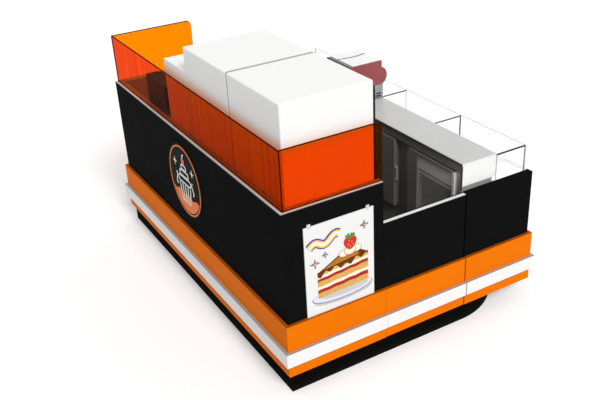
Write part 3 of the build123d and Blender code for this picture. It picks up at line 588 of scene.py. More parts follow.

# %% [markdown]
# ## Rear worktop
# The worktop is pale grey laminate, smooth with a low sheen. Edge bands of ABS are glued on it, white on
# its ends. Along its front, below a thin pale line of the laminate itself, a graphite band is painted
# shade: it darkens the lower part of the front edge, as the shade below a thinner board would. The bands
# are strips of their own, half a millimetre proud, so their joints catch the light as on the real board.

# %% Worktop and its edge bands
worktop_laminate = finish("pale_grey_worktop_laminate", ("#C6C6C3", "#D2D2CF"), (0.28, 0.42), patch=340,
                          grain=5)
white_band_abs = finish("white_edge_band", ("#ECECEA", "#F2F2F0"), (0.3, 0.4), patch=120)
front_edge_shade_band = finish("graphite_front_edge_shade", ("#4A4845", "#53504D"), (0.35, 0.45), patch=120)
dress(worktop_laminate, "worktop", edge=0.8)
low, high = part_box("worktop")
band_proud, end_drop, front_drop = 0.5 * mm, 1.0 * mm, 4.5 * mm
shape = bmesh.new()
for left, right in ((low.x - band_proud, low.x), (high.x, high.x + band_proud)):
    add_box(shape, (left, low.y - band_proud, low.z), (right, high.y, high.z - end_drop))
# The graphite front band is painted shade on the lower part of the worktop's front edge
front = rectangle(low.x, high.x, low.y - band_proud, low.y)
add_plate(shape, front, low.z, high.z - front_drop, on_plan, coat=1)
build("worktop_edge_band", shape, [white_band_abs, front_edge_shade_band], slot="worktop_grey")

# %% [markdown]
# ## Glass display
# Low float-glass panes stand on the rear counter, open on top. Clean glass is nearly invisible; what
# shows is its polished rim, where light comes out pale grey, so each pane has a rim with a finish of its
# own. Glass bends light by 1.52; the panes in the picture mirror almost nothing, so the IOR is far lower.
# Clear glass hardly throws a shadow, so the panes don't either. Three cross panes have rubber guards on
# their top edges, two worn grey and the one at the near end black; on the middle one, the guard also runs
# down the corner.

# %% Float glass
def wiped_glass(name, code, ior, wipe, film):
    """Clear glass with the smears of a cloth, wipe millimetres wide; film is their greatest roughness."""
    material, tree, shader = blank(name)
    place = add(tree, "ShaderNodeTexCoord").outputs["Object"]
    smears = {"Vector": place, "Scale": 1000 / wipe, "Detail": 3.0}
    smeared = add(tree, "ShaderNodeTexNoise", smears).outputs["Fac"]
    hazed = add(tree, "ShaderNodeMapRange", {"Value": smeared, "To Min": 0.0, "To Max": film})
    tree.links.new(hazed.outputs["Result"], shader.inputs["Roughness"])
    for socket, value in (("Base Color", linear(code)), ("Transmission Weight", 1.0), ("IOR", ior)):
        shader.inputs[socket].default_value = value
    return material


float_glass = wiped_glass("clear_float_glass", "#FDFFFE", 1.04, wipe=90, film=0.012)
polished_rim = finish("glass_polished_rim", ("#C2C8C6", "#CED4D2"), (0.15, 0.25), patch=50, grain=3,
                      specular=0.3)
print(float_glass.name, "with", polished_rim.name)


# %% Display panes
def spans(node, axis):
    """Where the solids of a node begin and end along an axis."""
    places = sorted({round(vertex.co[axis], 5) for vertex in nodes[node].data.vertices})
    return list(zip(places[::2], places[1::2]))


glass_zone = 0.5 * mm
low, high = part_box("display_front_glass")
outline = rectangle(low.x, high.x, low.z, high.z)
panes = [sheet("display_long_pane", outline, low.y, high.y, on_front, float_glass, polished_rim, glass_zone,
               "clear_glass", "display_front_glass")]
low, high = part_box("display_dividers")
outline = rectangle(low.y, high.y, low.z, high.z)
cross_panes = spans("display_dividers", 0)
for number, depths in enumerate(cross_panes, 1):
    panes.append(sheet(f"display_cross_pane_{number}", outline, *depths, on_end, float_glass, polished_rim,
                       glass_zone, "clear_glass", "display_dividers"))
for pane in panes:
    pane.visible_shadow = False

# %% Edge guards
guard_height, guard_proud, guard_edge = 5 * mm, 1 * mm, 0.6 * mm
black_rubber = soft_rubber("black_edge_rubber", ("#141414", "#1C1C1C"))
worn_rubber = soft_rubber("grey_edge_rubber", ("#4E4E4F", "#5A5A5B"))
under, inside = high.z - guard_height, high.y - guard_height
strip = rectangle(low.y, high.y, under, high.z + guard_proud)
corner_strip = [(low.y, under), (inside, under), (inside, low.z), (high.y, low.z), *strip[2:]]
guards = (3, strip, worn_rubber), (4, corner_strip, worn_rubber), (5, strip, black_rubber)
for number, outline, coat in guards:
    left, right = cross_panes[number - 1]
    shape = bmesh.new()
    add_plate(shape, outline, left - guard_proud, right + guard_proud, on_end)
    ease(shape, guard_edge)
    build(f"display_edge_guard_{number}", shape, [coat])

# %% [markdown]
# ## Display sill
# The white deck of the display turns over the top of the rear panel as a thin sill, and the long pane
# stands in it. Seen through the glass, the inside is then white up to the pane, as in the picture.

# %% Sill
sill_thick, sill_setback, sill_edge = 1.2 * mm, 2 * mm, 0.4 * mm
low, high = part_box("rear_panel")
deck_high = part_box("display_deck")[1]
shape = bmesh.new()
add_box(shape, (-deck_high.x, low.y, high.z), (deck_high.x, high.y - sill_setback, high.z + sill_thick))
ease(shape, sill_edge)
build("display_sill", shape, [white_melamine], slot="white_board")

# %% [markdown]
# ## Cold cabinet
# The cabinet's face is grey laminate, and bands of dark laminate cover the front edges of its cheeks. Its
# two doors are folded steel with a graphite powder coat, which sprays on as dust and melts to a fine
# pebbled skin. One door is glazed with sealed glass. The upper part of its pane and a thin line below it
# let less light pass straight through, so they show the pale colour of the glass as a haze: painted light
# for the lit shelf top and its lip inside. A white coated profile protects the free edge of this door; its
# white is painted light as well, for the sunlit side of that edge. A folded rail closes the gap above both
# doors. Rubber gaskets run round their backs as dull black lines. Profile and gaskets are pieces of their
# own, so they swing with the doors.

# %% Cabinet coats
graphite_coat = finish("graphite_powder_coat", ("#7C7975", "#868380"), (0.42, 0.52), relief=0.06)
graphite_laminate = faced_board("graphite_laminate", ("#625F5C", "#6C6966"), (0.45, 0.58))
face_laminate = faced_board("grey_face_laminate", ("#96938F", "#A09D99"), (0.45, 0.58))
rubber = finish("black_door_rubber", ("#161616", "#1E1E1E"), (0.65, 0.8), patch=60, grain=3)
dress(face_laminate, "cabinet_face", edge=0.8)
dress(graphite_coat, "glass_door_frame", "solid_door", edge=1.6)

# %% Door glass
# This pane mirrors the aisle a little, so its IOR is nearer to the usual 1.52 than in the display
clear_share, painted_light_share = 0.8, 0.15
pane_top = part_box("glass_door_pane")[1].z
painted_light_foot, line_height, line_half = pane_top - 87 * mm, pane_top - 109 * mm, 4 * mm
door_glass = wiped_glass("grey_sealed_glass", "#F2EFEA", 1.2, wipe=70, film=0.06)
tree = door_glass.node_tree
place = add(tree, "ShaderNodeTexCoord").outputs["Object"]
height = add(tree, "ShaderNodeSeparateXYZ", {"Vector": place}).outputs["Z"]
# Painted light: above the band's foot and along the thin line, less light passes straight through, so the
# pane shows its pale colour there, for the lit shelf top and its lip inside
band = add(tree, "ShaderNodeMath", {0: height, 1: painted_light_foot}, operation="GREATER_THAN").outputs[0]
near_line = {0: height, 1: line_height, 2: line_half}
line = add(tree, "ShaderNodeMath", near_line, operation="COMPARE").outputs[0]
painted_light_mask = add(tree, "ShaderNodeMath", {0: band, 1: line}, operation="MAXIMUM").outputs[0]
passed = add(tree, "ShaderNodeMapRange", {"Value": painted_light_mask, "To Min": clear_share, "To Max": painted_light_share})
tree.links.new(passed.outputs["Result"], tree.nodes["Principled BSDF"].inputs["Transmission Weight"])
dress(door_glass, "glass_door_pane")
nodes["glass_door_pane"].visible_shadow = False

# %% Cheek edges
edge_thick, edge_round = 0.8 * mm, 0.3 * mm
low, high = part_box("cabinet_cheeks")
cheeks = spans("cabinet_cheeks", 0)
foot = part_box("rear_panel")[1].z
shape = bmesh.new()
for left, right in cheeks:
    add_box(shape, (left, low.y - edge_thick, foot), (right, low.y, high.z))
ease(shape, edge_round)
build("cheek_edge_bands", shape, [graphite_laminate], slot="graphite_laminate")

# %% Top rail
# The rail spans the cold bay, from its partition to the near cheek
rail_setback, rail_thick, rail_gap, rail_round = 3 * mm, 3 * mm, 6 * mm, 0.8 * mm
cold_bay_left = 10 * mm
face_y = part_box("cabinet_face")[0].y
front, foot = low.y + rail_setback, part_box("solid_door")[1].z + rail_gap
angle = [(front, foot), (face_y, foot), (face_y, foot + rail_thick), (front + rail_thick, foot + rail_thick),
         (front + rail_thick, high.z), (front, high.z)]
shape = bmesh.new()
add_plate(shape, angle, cold_bay_left, cheeks[-1][0], on_end)
ease(shape, rail_round)
build("cabinet_top_rail", shape, [graphite_coat], slot="graphite_paint")


# %% Door gaskets
def shrunk(sides, width):
    """Left, right, bottom and top of a rectangle, each moved inwards."""
    return [side + inwards * width for side, inwards in zip(sides, (1, -1, 1, -1))]


# A door's box includes the pins that it swings on, above and below its leaf
door_pin = 5 * mm
gasket_inset, gasket_width, gasket_thick, gasket_round = 5 * mm, 10 * mm, 1.7 * mm, 0.5 * mm
for door, node in (("glass_door", "glass_door_frame"), ("solid_door", "solid_door")):
    low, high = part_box(node)
    sides = shrunk((low.x, high.x, low.z + door_pin, high.z - door_pin), gasket_inset)
    inner = rectangle(*shrunk(sides, gasket_width))
    shape = bmesh.new()
    add_frame(shape, rectangle(*sides), inner, high.y, high.y + gasket_thick, on_front)
    ease(shape, gasket_round)
    build(f"{door}_gasket", shape, [rubber], body=door)

# %% Edge profile
profile_width, profile_thick, profile_round = 17 * mm, 1 * mm, 0.4 * mm
# The profile's white is painted light, for the sunlit side of the door's free edge
lit_edge_profile = finish("white_profile_painted_light", ("#EEEEEC", "#F3F3F1"), (0.4, 0.5), patch=60)
low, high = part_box("glass_door_frame")
left, right, front = high.x - profile_width, high.x + profile_thick, low.y - profile_thick
angle = [(left, front), (right, front), (right, high.y), (high.x, high.y), (high.x, low.y), (left, low.y)]
shape = bmesh.new()
add_plate(shape, angle, low.z + door_pin, high.z - door_pin, on_plan)
ease(shape, profile_round)
build("glass_door_profile", shape, [lit_edge_profile], body="glass_door", slot="graphite_paint")

# %% [markdown]
# ## Steel fittings
# The gate's pull, hinges, oven handles, liners and drip tray are stainless steel, brushed lengthwise.
# The brushing is a noise stretched along one axis; it spreads the highlight, so the metal looks soft
# rather than mirror-bright. Tap, wire racks and filter holder are chrome-plated: much smoother, with dark
# and bright streaks from whatever is around. The base of the coffee machine is polished sheet, between
# the two. The pulls of the doors are plated with satin nickel. A full metal would mirror the dark aisle
# and turn dark, but in the picture the pulls are pale, so this plate is drawn as seven parts of metal and
# three of a pale coat.

# %% Steel, chrome and nickel
brushed_steel = finish("brushed_stainless_steel", ("#A9AAAB", "#BBBCBC"), (0.26, 0.38), patch=30, grain=3,
                       stretch=(1, 1, 0.08), metal=1.0)
chrome = finish("bright_chrome_plate", ("#C9CACC", "#D2D3D4"), (0.06, 0.12), patch=90, grain=8, relief=0.005,
                metal=1.0)
base_steel = finish("polished_base_steel", ("#8E8F92", "#AAABAD"), (0.16, 0.26), patch=60, grain=6,
                    stretch=(1, 1, 0.2), metal=1.0)
satin_nickel = finish("satin_nickel_plate", ("#D9D8D4", "#E2E1DD"), (0.5, 0.6), patch=30, grain=3, metal=0.7)
dress(brushed_steel, "gate_pull", "gate_hinge_posts", "gate_hinge_leaves", "door_hinge_plates")
dress(brushed_steel, "near_oven_handle", "far_oven_handle", "oven_liners", "boiler_drip_tray")
dress(chrome, "oven_racks", "boiler_tap", "coffee_filter_holder")
dress(base_steel, "coffee_base", edge=1.5)
dress(satin_nickel, "glass_door_pull", "solid_door_pull", edge=2.0)

# %% [markdown]
# ## Ovens
# Two countertop ovens stand side by side, their doors towards the staff. A casing is one sheet of steel,
# folded with a small radius and fired with white enamel, which flows to a soft gloss with a faint orange
# peel. So each casing is a stack of rounded rings: from the back along the outer skin to the open front,
# and back inside. A grey rubber strip fills the joint between the ovens, a little below their faces, and
# follows their fold.

# %% Enamel and casings
white_enamel = finish("white_vitreous_enamel", ("#F8F8F6", "#FBFBF9"), (0.34, 0.42), patch=420, grain=9,
                      specular=0.3)
fold_radius, sheet_thick, least_radius = 9 * mm, 2 * mm, 0.3 * mm
fold_turns = [radians(18 * step) for step in range(6)]


def casing(name, low, high):
    """A folded sheet box, open towards the staff; its rings run out along the outer skin and back inside."""
    skins = []
    for inset in (0, sheet_thick):
        radius = fold_radius - inset
        fold = [(radius * (1 - sin(turn)), radius * (1 - cos(turn))) for turn in fold_turns]
        skins.append([(inset + aside, low[1] + inset + deep) for aside, deep in fold] + [(inset, high[1])])
    rings = []
    for inset, depth in skins[0] + skins[1][::-1]:
        sides = shrunk((low[0], high[0], low[2], high[2]), inset)
        outline = rounded(*sides, max(fold_radius - inset, least_radius))
        rings.append([on_front(u, v, depth) for u, v in outline])
    shape = bmesh.new()
    add_rings(shape, rings)
    build(name, shape, [white_enamel], slot="white_enamel", stands_for=["oven_casings"])


low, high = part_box("oven_casings")
walls = spans("oven_casings", 0)
for name, first, last in (("far_oven_casing", walls[0], walls[1]), ("near_oven_casing", walls[2], walls[3])):
    casing(name, (first[0], low.y, low.z), (last[1], high.y, high.z))
dress(white_enamel, "cold_shelves")

# %% Joint strip
top_setback, front_setback, strip_spread, strip_depth = 0.1 * mm, 2.5 * mm, 8 * mm, 10 * mm
joint_rubber = soft_rubber("grey_joint_rubber", ("#A0A0A0", "#AAAAAA"))
left, right = walls[1][1], walls[2][0]
stations = [(low.y + front_setback, low.z, 0.0)]
for turn in fold_turns:
    reach = fold_radius - front_setback + (front_setback - top_setback) * turn / fold_turns[-1]
    stations.append((low.y + fold_radius - reach * cos(turn), high.z - fold_radius + reach * sin(turn), turn))
stations.append((high.y, high.z - top_setback, fold_turns[-1]))
rings = []
for y, z, turn in stations:
    inner = y + strip_depth * cos(turn), z - strip_depth * sin(turn)
    corners = (left - strip_spread, y, z), (right + strip_spread, y, z), (right, *inner), (left, *inner)
    rings.append([Vector(corner) for corner in corners])
shape = bmesh.new()
add_rings(shape, rings)
build("oven_joint_strip", shape, [joint_rubber])

# %% [markdown]
# ## Oven doors and controls
# A door is black glass on a folded rim. The print on the back of the glass leaves a smoked window clear,
# a shade warmer and lighter than the rest, and a steel trim frames it. The panel below is moulded ABS,
# dull from its fine grain, with a printed scale round the knob and two lenses. The scale is a set of
# strokes, each the outline on both sides of a line; lenses and screws are turned forms, stacked rings.

# %% Strokes and turned forms
def middle_of(node):
    """The middle of a node, seen from the customer side."""
    low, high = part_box(node)
    return (low.x + high.x) / 2, (low.z + high.z) / 2


def stroke(points, width):
    """The outline of a line of even width through some points."""
    left, right = [], []
    for at, (u, v) in enumerate(points):
        before, after = points[max(at - 1, 0)], points[min(at + 1, len(points) - 1)]
        half = Vector((after[0] - before[0], after[1] - before[1])).normalized() * width / 2
        left.append((u - half.y, v + half.x))
        right.append((u + half.y, v - half.x))
    return left + right[::-1]


def ray(middle, turn, reaches):
    """Points on a ray from a middle, some millimetres along it; it turns clockwise from upright."""
    return [(middle[0] + reach * mm * sin(turn), middle[1] + reach * mm * cos(turn)) for reach in reaches]


def circle(middle, radius, steps=48):
    return arc(middle, radius, 0, 360, steps)[:-1]


def add_turned(shape, middle, rings, place, coat=0, steps=24):
    """A turned form on an axis: rings of given radius and rise in millimetres, closed at both ends."""
    u, v, base = middle
    turned = [[place(*point, base + rise * mm) for point in circle((u, v), radius * mm, steps)]
              for radius, rise in rings]
    add_rings(shape, turned, coat)


print("a stroke through 3 points has", len(stroke([(0, 0), (1, 0), (2, 1)], 0.1)), "corners")

# %% Black glass and ABS
glass_gloss = {"patch": 200, "grain": 20, "relief": 0.005}
oven_glass = finish("black_oven_glass", ("#090909", "#0D0D0D"), (0.05, 0.1), specular=0.2, **glass_gloss)
smoked_glass = finish("smoked_window_glass", ("#1C1815", "#26211D"), (0.04, 0.09), **glass_gloss)
black_abs = finish("black_moulded_abs", ("#141414", "#1A1A1A"), (0.45, 0.58), grain=3, relief=0.05,
                   specular=0.15)
dress(oven_glass, "near_oven_door", "far_oven_door", edge=1.0)
dress(black_abs, "oven_control_panels", "near_oven_knob", "far_oven_knob", edge=1.0)
dress(black_abs, "boiler_lever", "till_terminal", edge=2.0)

# %% Oven windows
ovens = "near_oven", "far_oven"
window_side, window_foot, window_head, window_corner = 76 * mm, 50 * mm, 96 * mm, 18 * mm
trim_width, trim_thick, trim_round, pane_rise = 7 * mm, 1.6 * mm, 0.5 * mm, 0.5 * mm
for oven in ovens:
    low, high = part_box(f"{oven}_door")
    sides = (low.x + window_side, high.x - window_side, low.z + window_foot, high.z - window_head)
    inner = rounded(*shrunk(sides, trim_width), window_corner - trim_width)
    shape = bmesh.new()
    add_frame(shape, rounded(*sides, window_corner), inner, high.y, high.y + trim_thick, on_front)
    ease(shape, trim_round)
    add_plate(shape, inner, high.y, high.y + pane_rise, on_front, coat=1)
    build(f"{oven}_window", shape, [brushed_steel, smoked_glass], body=f"{oven}_door", slot="oven_glass")

# %% Scales and lenses
# The print is flat pale ink; a lens is smooth, so it has a bright point on a deep colour
panel_print = finish("white_panel_print", ("#D6D6D4", "#E0E0DE"), (0.5, 0.62), patch=40, grain=3, relief=0.01)
amber_lens = finish("amber_lamp_lens", ("#C4650F", "#DA7C1E"), (0.1, 0.18), patch=12, grain=3)
green_lens = finish("green_lamp_lens", ("#2F7A3C", "#3C8E4A"), (0.1, 0.18), patch=12, grain=3)
scale_turns, scale_reach = [radians(30) * step for step in range(10)], (25, 31)
mark_width, mark_thick, amber_aside, green_aside = 1.6 * mm, 0.3 * mm, 70 * mm, 94 * mm
lens_rings = [(6.5, 0), (6.5, 1.2), (5.2, 1.4), (4.6, 2.8), (2.4, 3.6)]
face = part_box("oven_control_panels")[1].y
for oven in ovens:
    middle = middle_of(f"{oven}_knob")
    shape = bmesh.new()
    for turn in scale_turns:
        mark = stroke(ray(middle, turn, scale_reach), mark_width)
        add_plate(shape, mark, face, face + mark_thick, on_front)
    for aside, coat in ((amber_aside, 1), (green_aside, 2)):
        add_turned(shape, (middle[0] - aside, middle[1], face), lens_rings, on_front, coat)
    build(f"{oven}_scale", shape, [panel_print, amber_lens, green_lens], slot="black_plastic")

# %% Hinge screws
hinge_height, leaf_thick, screw_aside, screw_rises = 90 * mm, 2.5 * mm, 14.5 * mm, (14, 45, 76)
screw_rings = [(4.2, 0), (4.2, -0.5), (3.4, -1.2), (1.8, -1.6)]
for node, body in (("gate_hinge_posts", "kiosk"), ("gate_hinge_leaves", "gate")):
    low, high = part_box(node)
    middle = low.y + screw_aside if body == "kiosk" else high.y - screw_aside
    shape = bmesh.new()
    for foot in (low.z, high.z - hinge_height):
        for rise in screw_rises:
            add_turned(shape, (middle, foot + rise * mm, high.x - leaf_thick), screw_rings, on_end)
    build(f"{node}_screws", shape, [brushed_steel], body=body, slot="steel_fittings")

# %% [markdown]
# ## Boiler
# The boiler is a closed enamelled box with rounded edges. No fold or opening of it shows, so one box with
# a wide round on every edge is enough. On the staff side it has a dial thermometer: a chrome ring round a
# matt white face with a needle. A slotted grille lies in its drip tray. It rides on the tray, so it
# slides out with it.

# %% Boiler shell
shape = bmesh.new()
add_box(shape, *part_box("boiler_casing"))
ease(shape, fold_radius, rounds=4)
build("boiler_shell", shape, [white_enamel], slot="white_enamel", stands_for=["boiler_casing"])

# %% Thermometer
dial_white = finish("white_dial_print", ("#EAEAE6", "#EFEFEC"), (0.4, 0.5), patch=30, grain=3, relief=0.01)
dial_radius, dial_drop, dial_rise, mark_rise = 23 * mm, 85 * mm, 2 * mm, 2.4 * mm
bezel_width, bezel_rise, bezel_round = 5 * mm, 6 * mm, 1.2 * mm
hub_rings = [(3, 0), (3, 1.6), (2, 2)]
marks = [(120 - 24 * step, (16, 21), 1.2 * mm) for step in range(11)]
needle = -58, (-5, 15), 2 * mm
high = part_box("boiler_casing")[1]
middle, face = (middle_of("boiler_casing")[0], high.z - dial_drop), high.y
dial = circle(middle, dial_radius)
shape = bmesh.new()
add_frame(shape, circle(middle, dial_radius + bezel_width), dial, face, face + bezel_rise, on_front)
ease(shape, bezel_round)
add_plate(shape, dial, face, face + dial_rise, on_front, coat=1)
for turn, reaches, width in (*marks, needle):
    line = stroke(ray(middle, radians(turn), reaches), width)
    add_plate(shape, line, face + dial_rise, face + mark_rise, on_front, coat=2)
add_turned(shape, (*middle, face + dial_rise), hub_rings, on_front, coat=2)
build("boiler_thermometer", shape, [chrome, dial_white, black_abs], slot="chrome_wire")


# %% Drip grille
def add_grille(shape, low, high, rim, bar, gap):
    """A flat plate with slots from front to back, between two corners."""
    sides = low[0], high[0], low[1], high[1]
    add_frame(shape, rectangle(*sides), rectangle(*shrunk(sides, rim)), low[2], high[2], on_plan)
    width = high[0] - low[0] - 2 * rim
    bars = int(width / (bar + gap))
    pitch = width / (bars + 1)
    for number in range(1, bars + 1):
        left = low[0] + rim + number * pitch - bar / 2
        add_box(shape, (left, low[1] + rim, low[2]), (left + bar, high[1] - rim, high[2]))


tray_wall, tray_play, grille_rise, grille_thick = 3 * mm, 0.5 * mm, 5 * mm, 2 * mm
low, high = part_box("boiler_drip_tray")
inset, level = tray_wall + tray_play, low.z + grille_rise
near, far = (low.x + inset, low.y + inset, level), (high.x - inset, high.y - inset, level + grille_thick)
shape = bmesh.new()
add_grille(shape, near, far, rim=5 * mm, bar=3 * mm, gap=6 * mm)
build("boiler_grille", shape, [brushed_steel], body="boiler_tray", slot="steel_fittings")

# %% [markdown]
# ## Till
# The till's case and drawer are powder-coated black, and its sloping terminal is ABS. A blue-black screen
# lies on the upper part of the slope; its etched anti-glare face breaks up every mirror image. Rows of
# soft rubber keys lie below it. Both are drawn on the slope itself: one more way to place an outline,
# along the slope and out of it. The drawer has a small round lock.

# %% Till coats and slope
black_coat = finish("black_powder_coat", ("#111112", "#161617"), (0.48, 0.6), relief=0.06, specular=0.15)
screen_face = finish("dark_anti_glare_screen", ("#0E1013", "#14171A"), (0.35, 0.42), patch=150, specular=0.1)
key_rubber = finish("grey_key_rubber", ("#3A3C3F", "#45474A"), (0.55, 0.66), patch=20, grain=3)
dress(black_coat, "till_case", "till_drawer")
flat_depth, slope_lip = 75 * mm, 20 * mm
low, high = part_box("till_terminal")
slope_top, slope_foot = Vector((0, low.y + flat_depth, high.z)), Vector((0, high.y, low.z + slope_lip))
along = (slope_foot - slope_top).normalized()
out = Vector((0, -along.z, along.y))
till_middle = middle_of("till_terminal")[0]


def on_slope(u, v, depth):
    """An outline on the terminal's slope: across it from its middle, down it from its top, and out of it."""
    return slope_top + Vector((till_middle + u, 0, 0)) + along * v + out * depth


print(f"the slope is {(slope_foot - slope_top).length / mm:.0f} mm long")

# %% Screen and keys
surround_sides, surround_rise, soft_edge = (-132 * mm, 132 * mm, 8 * mm, 150 * mm), 3 * mm, 0.8 * mm
surround_width, surround_corner, glass_corner, glass_rise = 8 * mm, 8 * mm, 4 * mm, 1.2 * mm
key_wide, key_long, key_corner, key_rise = 27 * mm, 21 * mm, 3 * mm, 3 * mm
key_lefts, key_tops = range(-126, 130, 32), range(160, 238, 26)
glass = rounded(*shrunk(surround_sides, surround_width), glass_corner)
shape = bmesh.new()
add_frame(shape, rounded(*surround_sides, surround_corner), glass, 0, surround_rise, on_slope)
ease(shape, soft_edge)
add_plate(shape, glass, 0, glass_rise, on_slope, coat=1)
build("till_screen", shape, [black_abs, screen_face], slot="black_plastic")
shape = bmesh.new()
for top in key_tops:
    for left in key_lefts:
        key = rounded(left * mm, left * mm + key_wide, top * mm, top * mm + key_long, key_corner)
        add_plate(shape, key, 0, key_rise, on_slope)
ease(shape, soft_edge)
build("till_keys", shape, [key_rubber], slot="black_plastic")

# %% Drawer lock
lock_drop, keyhole_width, keyhole_foot, keyhole_top = 26 * mm, 1.6 * mm, 1.9 * mm, 2.2 * mm
lock_rings = [(10, 0), (10, 1.8), (9, 2.6), (6.4, 2.6), (6.2, 2.0)]
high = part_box("till_drawer")[1]
middle = middle_of("till_drawer")[0], high.z - lock_drop
keyhole = stroke(ray(middle, 0, (-4, 4)), keyhole_width)
shape = bmesh.new()
add_turned(shape, (*middle, high.y), lock_rings, on_front)
add_plate(shape, keyhole, high.y + keyhole_foot, high.y + keyhole_top, on_front, coat=1)
build("till_drawer_lock", shape, [chrome, black_abs], body="till_drawer", slot="black_metal")

# %% [markdown]
# ## Coffee machine
# Its sides are maroon enamel, more glossy than the white of its body and top, and its base is bright
# sheet that shows more grey than white, with two dark vents in its end. Small trims divide the plain top:
# a dark seal in the joint between tank lid and cup tray, a dark bead along the lid in a slight bow, grey
# lips on the front edges, and a white trim on the far side panel. The grey lips are painted shade: they
# widen the grey line of the shaded front face below the top. Under the lid, a slotted strainer in a grey
# rim closes the mouth of the water tank. The filter holder has a moulded grip, waisted for the hand.
# A black grille covers the drip tray, and three push buttons sit in the staff side of the head. Each of
# these is a box, a plate, a grille or a turned form from the helpers above, and what lies on the lid
# rides on the lid.

# %% Coffee machine coats
maroon_enamel = finish("maroon_enamel", ("#923F3F", "#9C4746"), (0.2, 0.3), patch=180, grain=8, relief=0.03)
grey_abs_and_lip_shade = finish("grey_abs_rim_and_lip_shade", ("#77787A", "#828385"), (0.45, 0.56), patch=60, grain=3)
dress(maroon_enamel, "coffee_side_panels", edge=3.5)
dress(white_enamel, "coffee_body", "coffee_cup_tray", "coffee_tank_lid", edge=1.5)

# %% Seal, bead and lips
seal_width, seal_drop, seal_end = 2.2 * mm, 0.8 * mm, 14 * mm
bead_width, bead_rise, bead_bow, bead_steps = 9 * mm, 1 * mm, 18 * mm, 12
lip_depth, lip_height, lip_proud, lip_round = 24 * mm, 8 * mm, 0.8 * mm, 0.4 * mm
lid_play, lid_gap = 1 * mm, 3 * mm
low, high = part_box("coffee_cup_tray")
top, lid_left, lid_right = high.z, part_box("coffee_body")[0].x + lid_play, low.x - lid_gap
shape = bmesh.new()
add_box(shape, (low.x - seal_width, low.y, low.z), (low.x, high.y - seal_end, top - seal_drop))
build("coffee_lid_seal", shape, [rubber])

lid_front = low.y + lip_depth
bead = []
for step in [at / bead_steps for at in range(bead_steps + 1)]:
    bow = bead_bow * (1 - sin(pi * step))
    bead.append((lid_right - bead_width - bow, lid_front + (high.y - low.y - lip_depth) * step))
bead += [(u + bead_width, v) for u, v in bead[::-1]]
shape = bmesh.new()
add_plate(shape, bead, top - bead_rise, top + bead_rise, on_plan)
build("coffee_lid_bead", shape, [rubber], body="coffee_lid", slot="white_enamel")

# The lips are painted shade along the front edges of lid and tray, for the shaded front face below them
for name, left, right, body in (("coffee_lid_lip_shade", lid_left, lid_right, "coffee_lid"),
                                ("coffee_tray_lip_shade", low.x, high.x, "kiosk")):
    shape = bmesh.new()
    add_box(shape, (left, low.y - lip_proud, top - lip_height), (right, lid_front, top + lip_proud))
    ease(shape, lip_round)
    build(name, shape, [grey_abs_and_lip_shade], body=body, slot="white_enamel")

# %% Tank mouth
mouth_edge, mouth_rim, mouth_rise, well_rise = 12 * mm, 7 * mm, 4 * mm, 0.5 * mm
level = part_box("coffee_body")[1].z
mouth = shrunk((lid_left, lid_right, lid_front, high.y - lip_depth), mouth_edge)
near, far = (mouth[0], mouth[2], level), (mouth[1], mouth[3], level + mouth_rise)
shape = bmesh.new()
add_grille(shape, near, far, rim=mouth_rim, bar=3 * mm, gap=5 * mm)
add_plate(shape, rectangle(*mouth), level, level + well_rise, on_plan, coat=1)
build("coffee_tank_mouth", shape, [grey_abs_and_lip_shade, black_abs], slot="white_enamel")

# %% Panel trim
# The panel's upper edge is read from its own highest points
trim_rise, level_play = 0.6 * mm, 0.1 * mm
panel_low, panel_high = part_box("coffee_side_panels")
points = [vertex.co for vertex in nodes["coffee_side_panels"].data.vertices]
edge = [point.y for point in points if point.z > panel_high.z - level_play]
near = panel_low.x, min(edge), panel_high.z
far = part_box("coffee_body")[0].x, max(edge), panel_high.z + trim_rise
shape = bmesh.new()
add_box(shape, near, far)
build("coffee_panel_trim", shape, [white_enamel], slot="white_enamel")

# %% Filter grip
spout_height, bowl_height = 14, 26
grip_rings = [(8, -3), (12, -1), (13.6, 5), (13.8, 30), (12.6, 58), (12.8, 80), (13.6, 88), (12.4, 92),
              (11, 92)]
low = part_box("coffee_filter_holder")[0]
grip_height = low.z + (spout_height + bowl_height / 2) * mm
grip = middle_of("coffee_filter_holder")[0], grip_height, low.y
shape = bmesh.new()
add_turned(shape, grip, grip_rings, on_front)
build("coffee_filter_grip", shape, [black_abs], body="coffee_filter", slot="chrome_wire")

# %% Drip tray and vents
tray_height, tray_depth, tray_edge, tray_thick = 33 * mm, 85 * mm, 12 * mm, 1.5 * mm
vent_near, vent_far, vent_corner, vent_thick = 53 * mm, 16 * mm, 3 * mm, 0.4 * mm
vent_rises = (18, 27), (35, 44)
low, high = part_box("coffee_base")
level = low.z + tray_height
near = low.x + tray_edge, low.y + tray_edge, level
far = high.x - tray_edge, low.y + tray_depth - tray_edge, level + tray_thick
shape = bmesh.new()
add_grille(shape, near, far, rim=5 * mm, bar=4 * mm, gap=6 * mm)
build("coffee_grille", shape, [black_abs], slot="black_plastic")
shape = bmesh.new()
for foot, head in vent_rises:
    sides = high.y - vent_near, high.y - vent_far, low.z + foot * mm, low.z + head * mm
    add_plate(shape, rounded(*sides, vent_corner), high.x, high.x + vent_thick, on_end)
build("coffee_base_vents", shape, [black_abs], slot="black_plastic")

# %% Buttons
button_insets, button_drop = (26, 56, 86), 44 * mm
collar_rings = [(9, 0), (9, -1.4), (8, -2.2), (7, -2.2), (6.6, -1.4)]
cap_rings = [(6.2, -1.4), (6.2, -2.6), (5, -3.2)]
low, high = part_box("coffee_body")
shape = bmesh.new()
for inset in button_insets:
    button = high.x - inset * mm, high.z - button_drop, low.y
    add_turned(shape, button, collar_rings, on_front)
    add_turned(shape, button, cap_rings, on_front, coat=1)
build("coffee_buttons", shape, [chrome, black_abs], slot="chrome_wire")

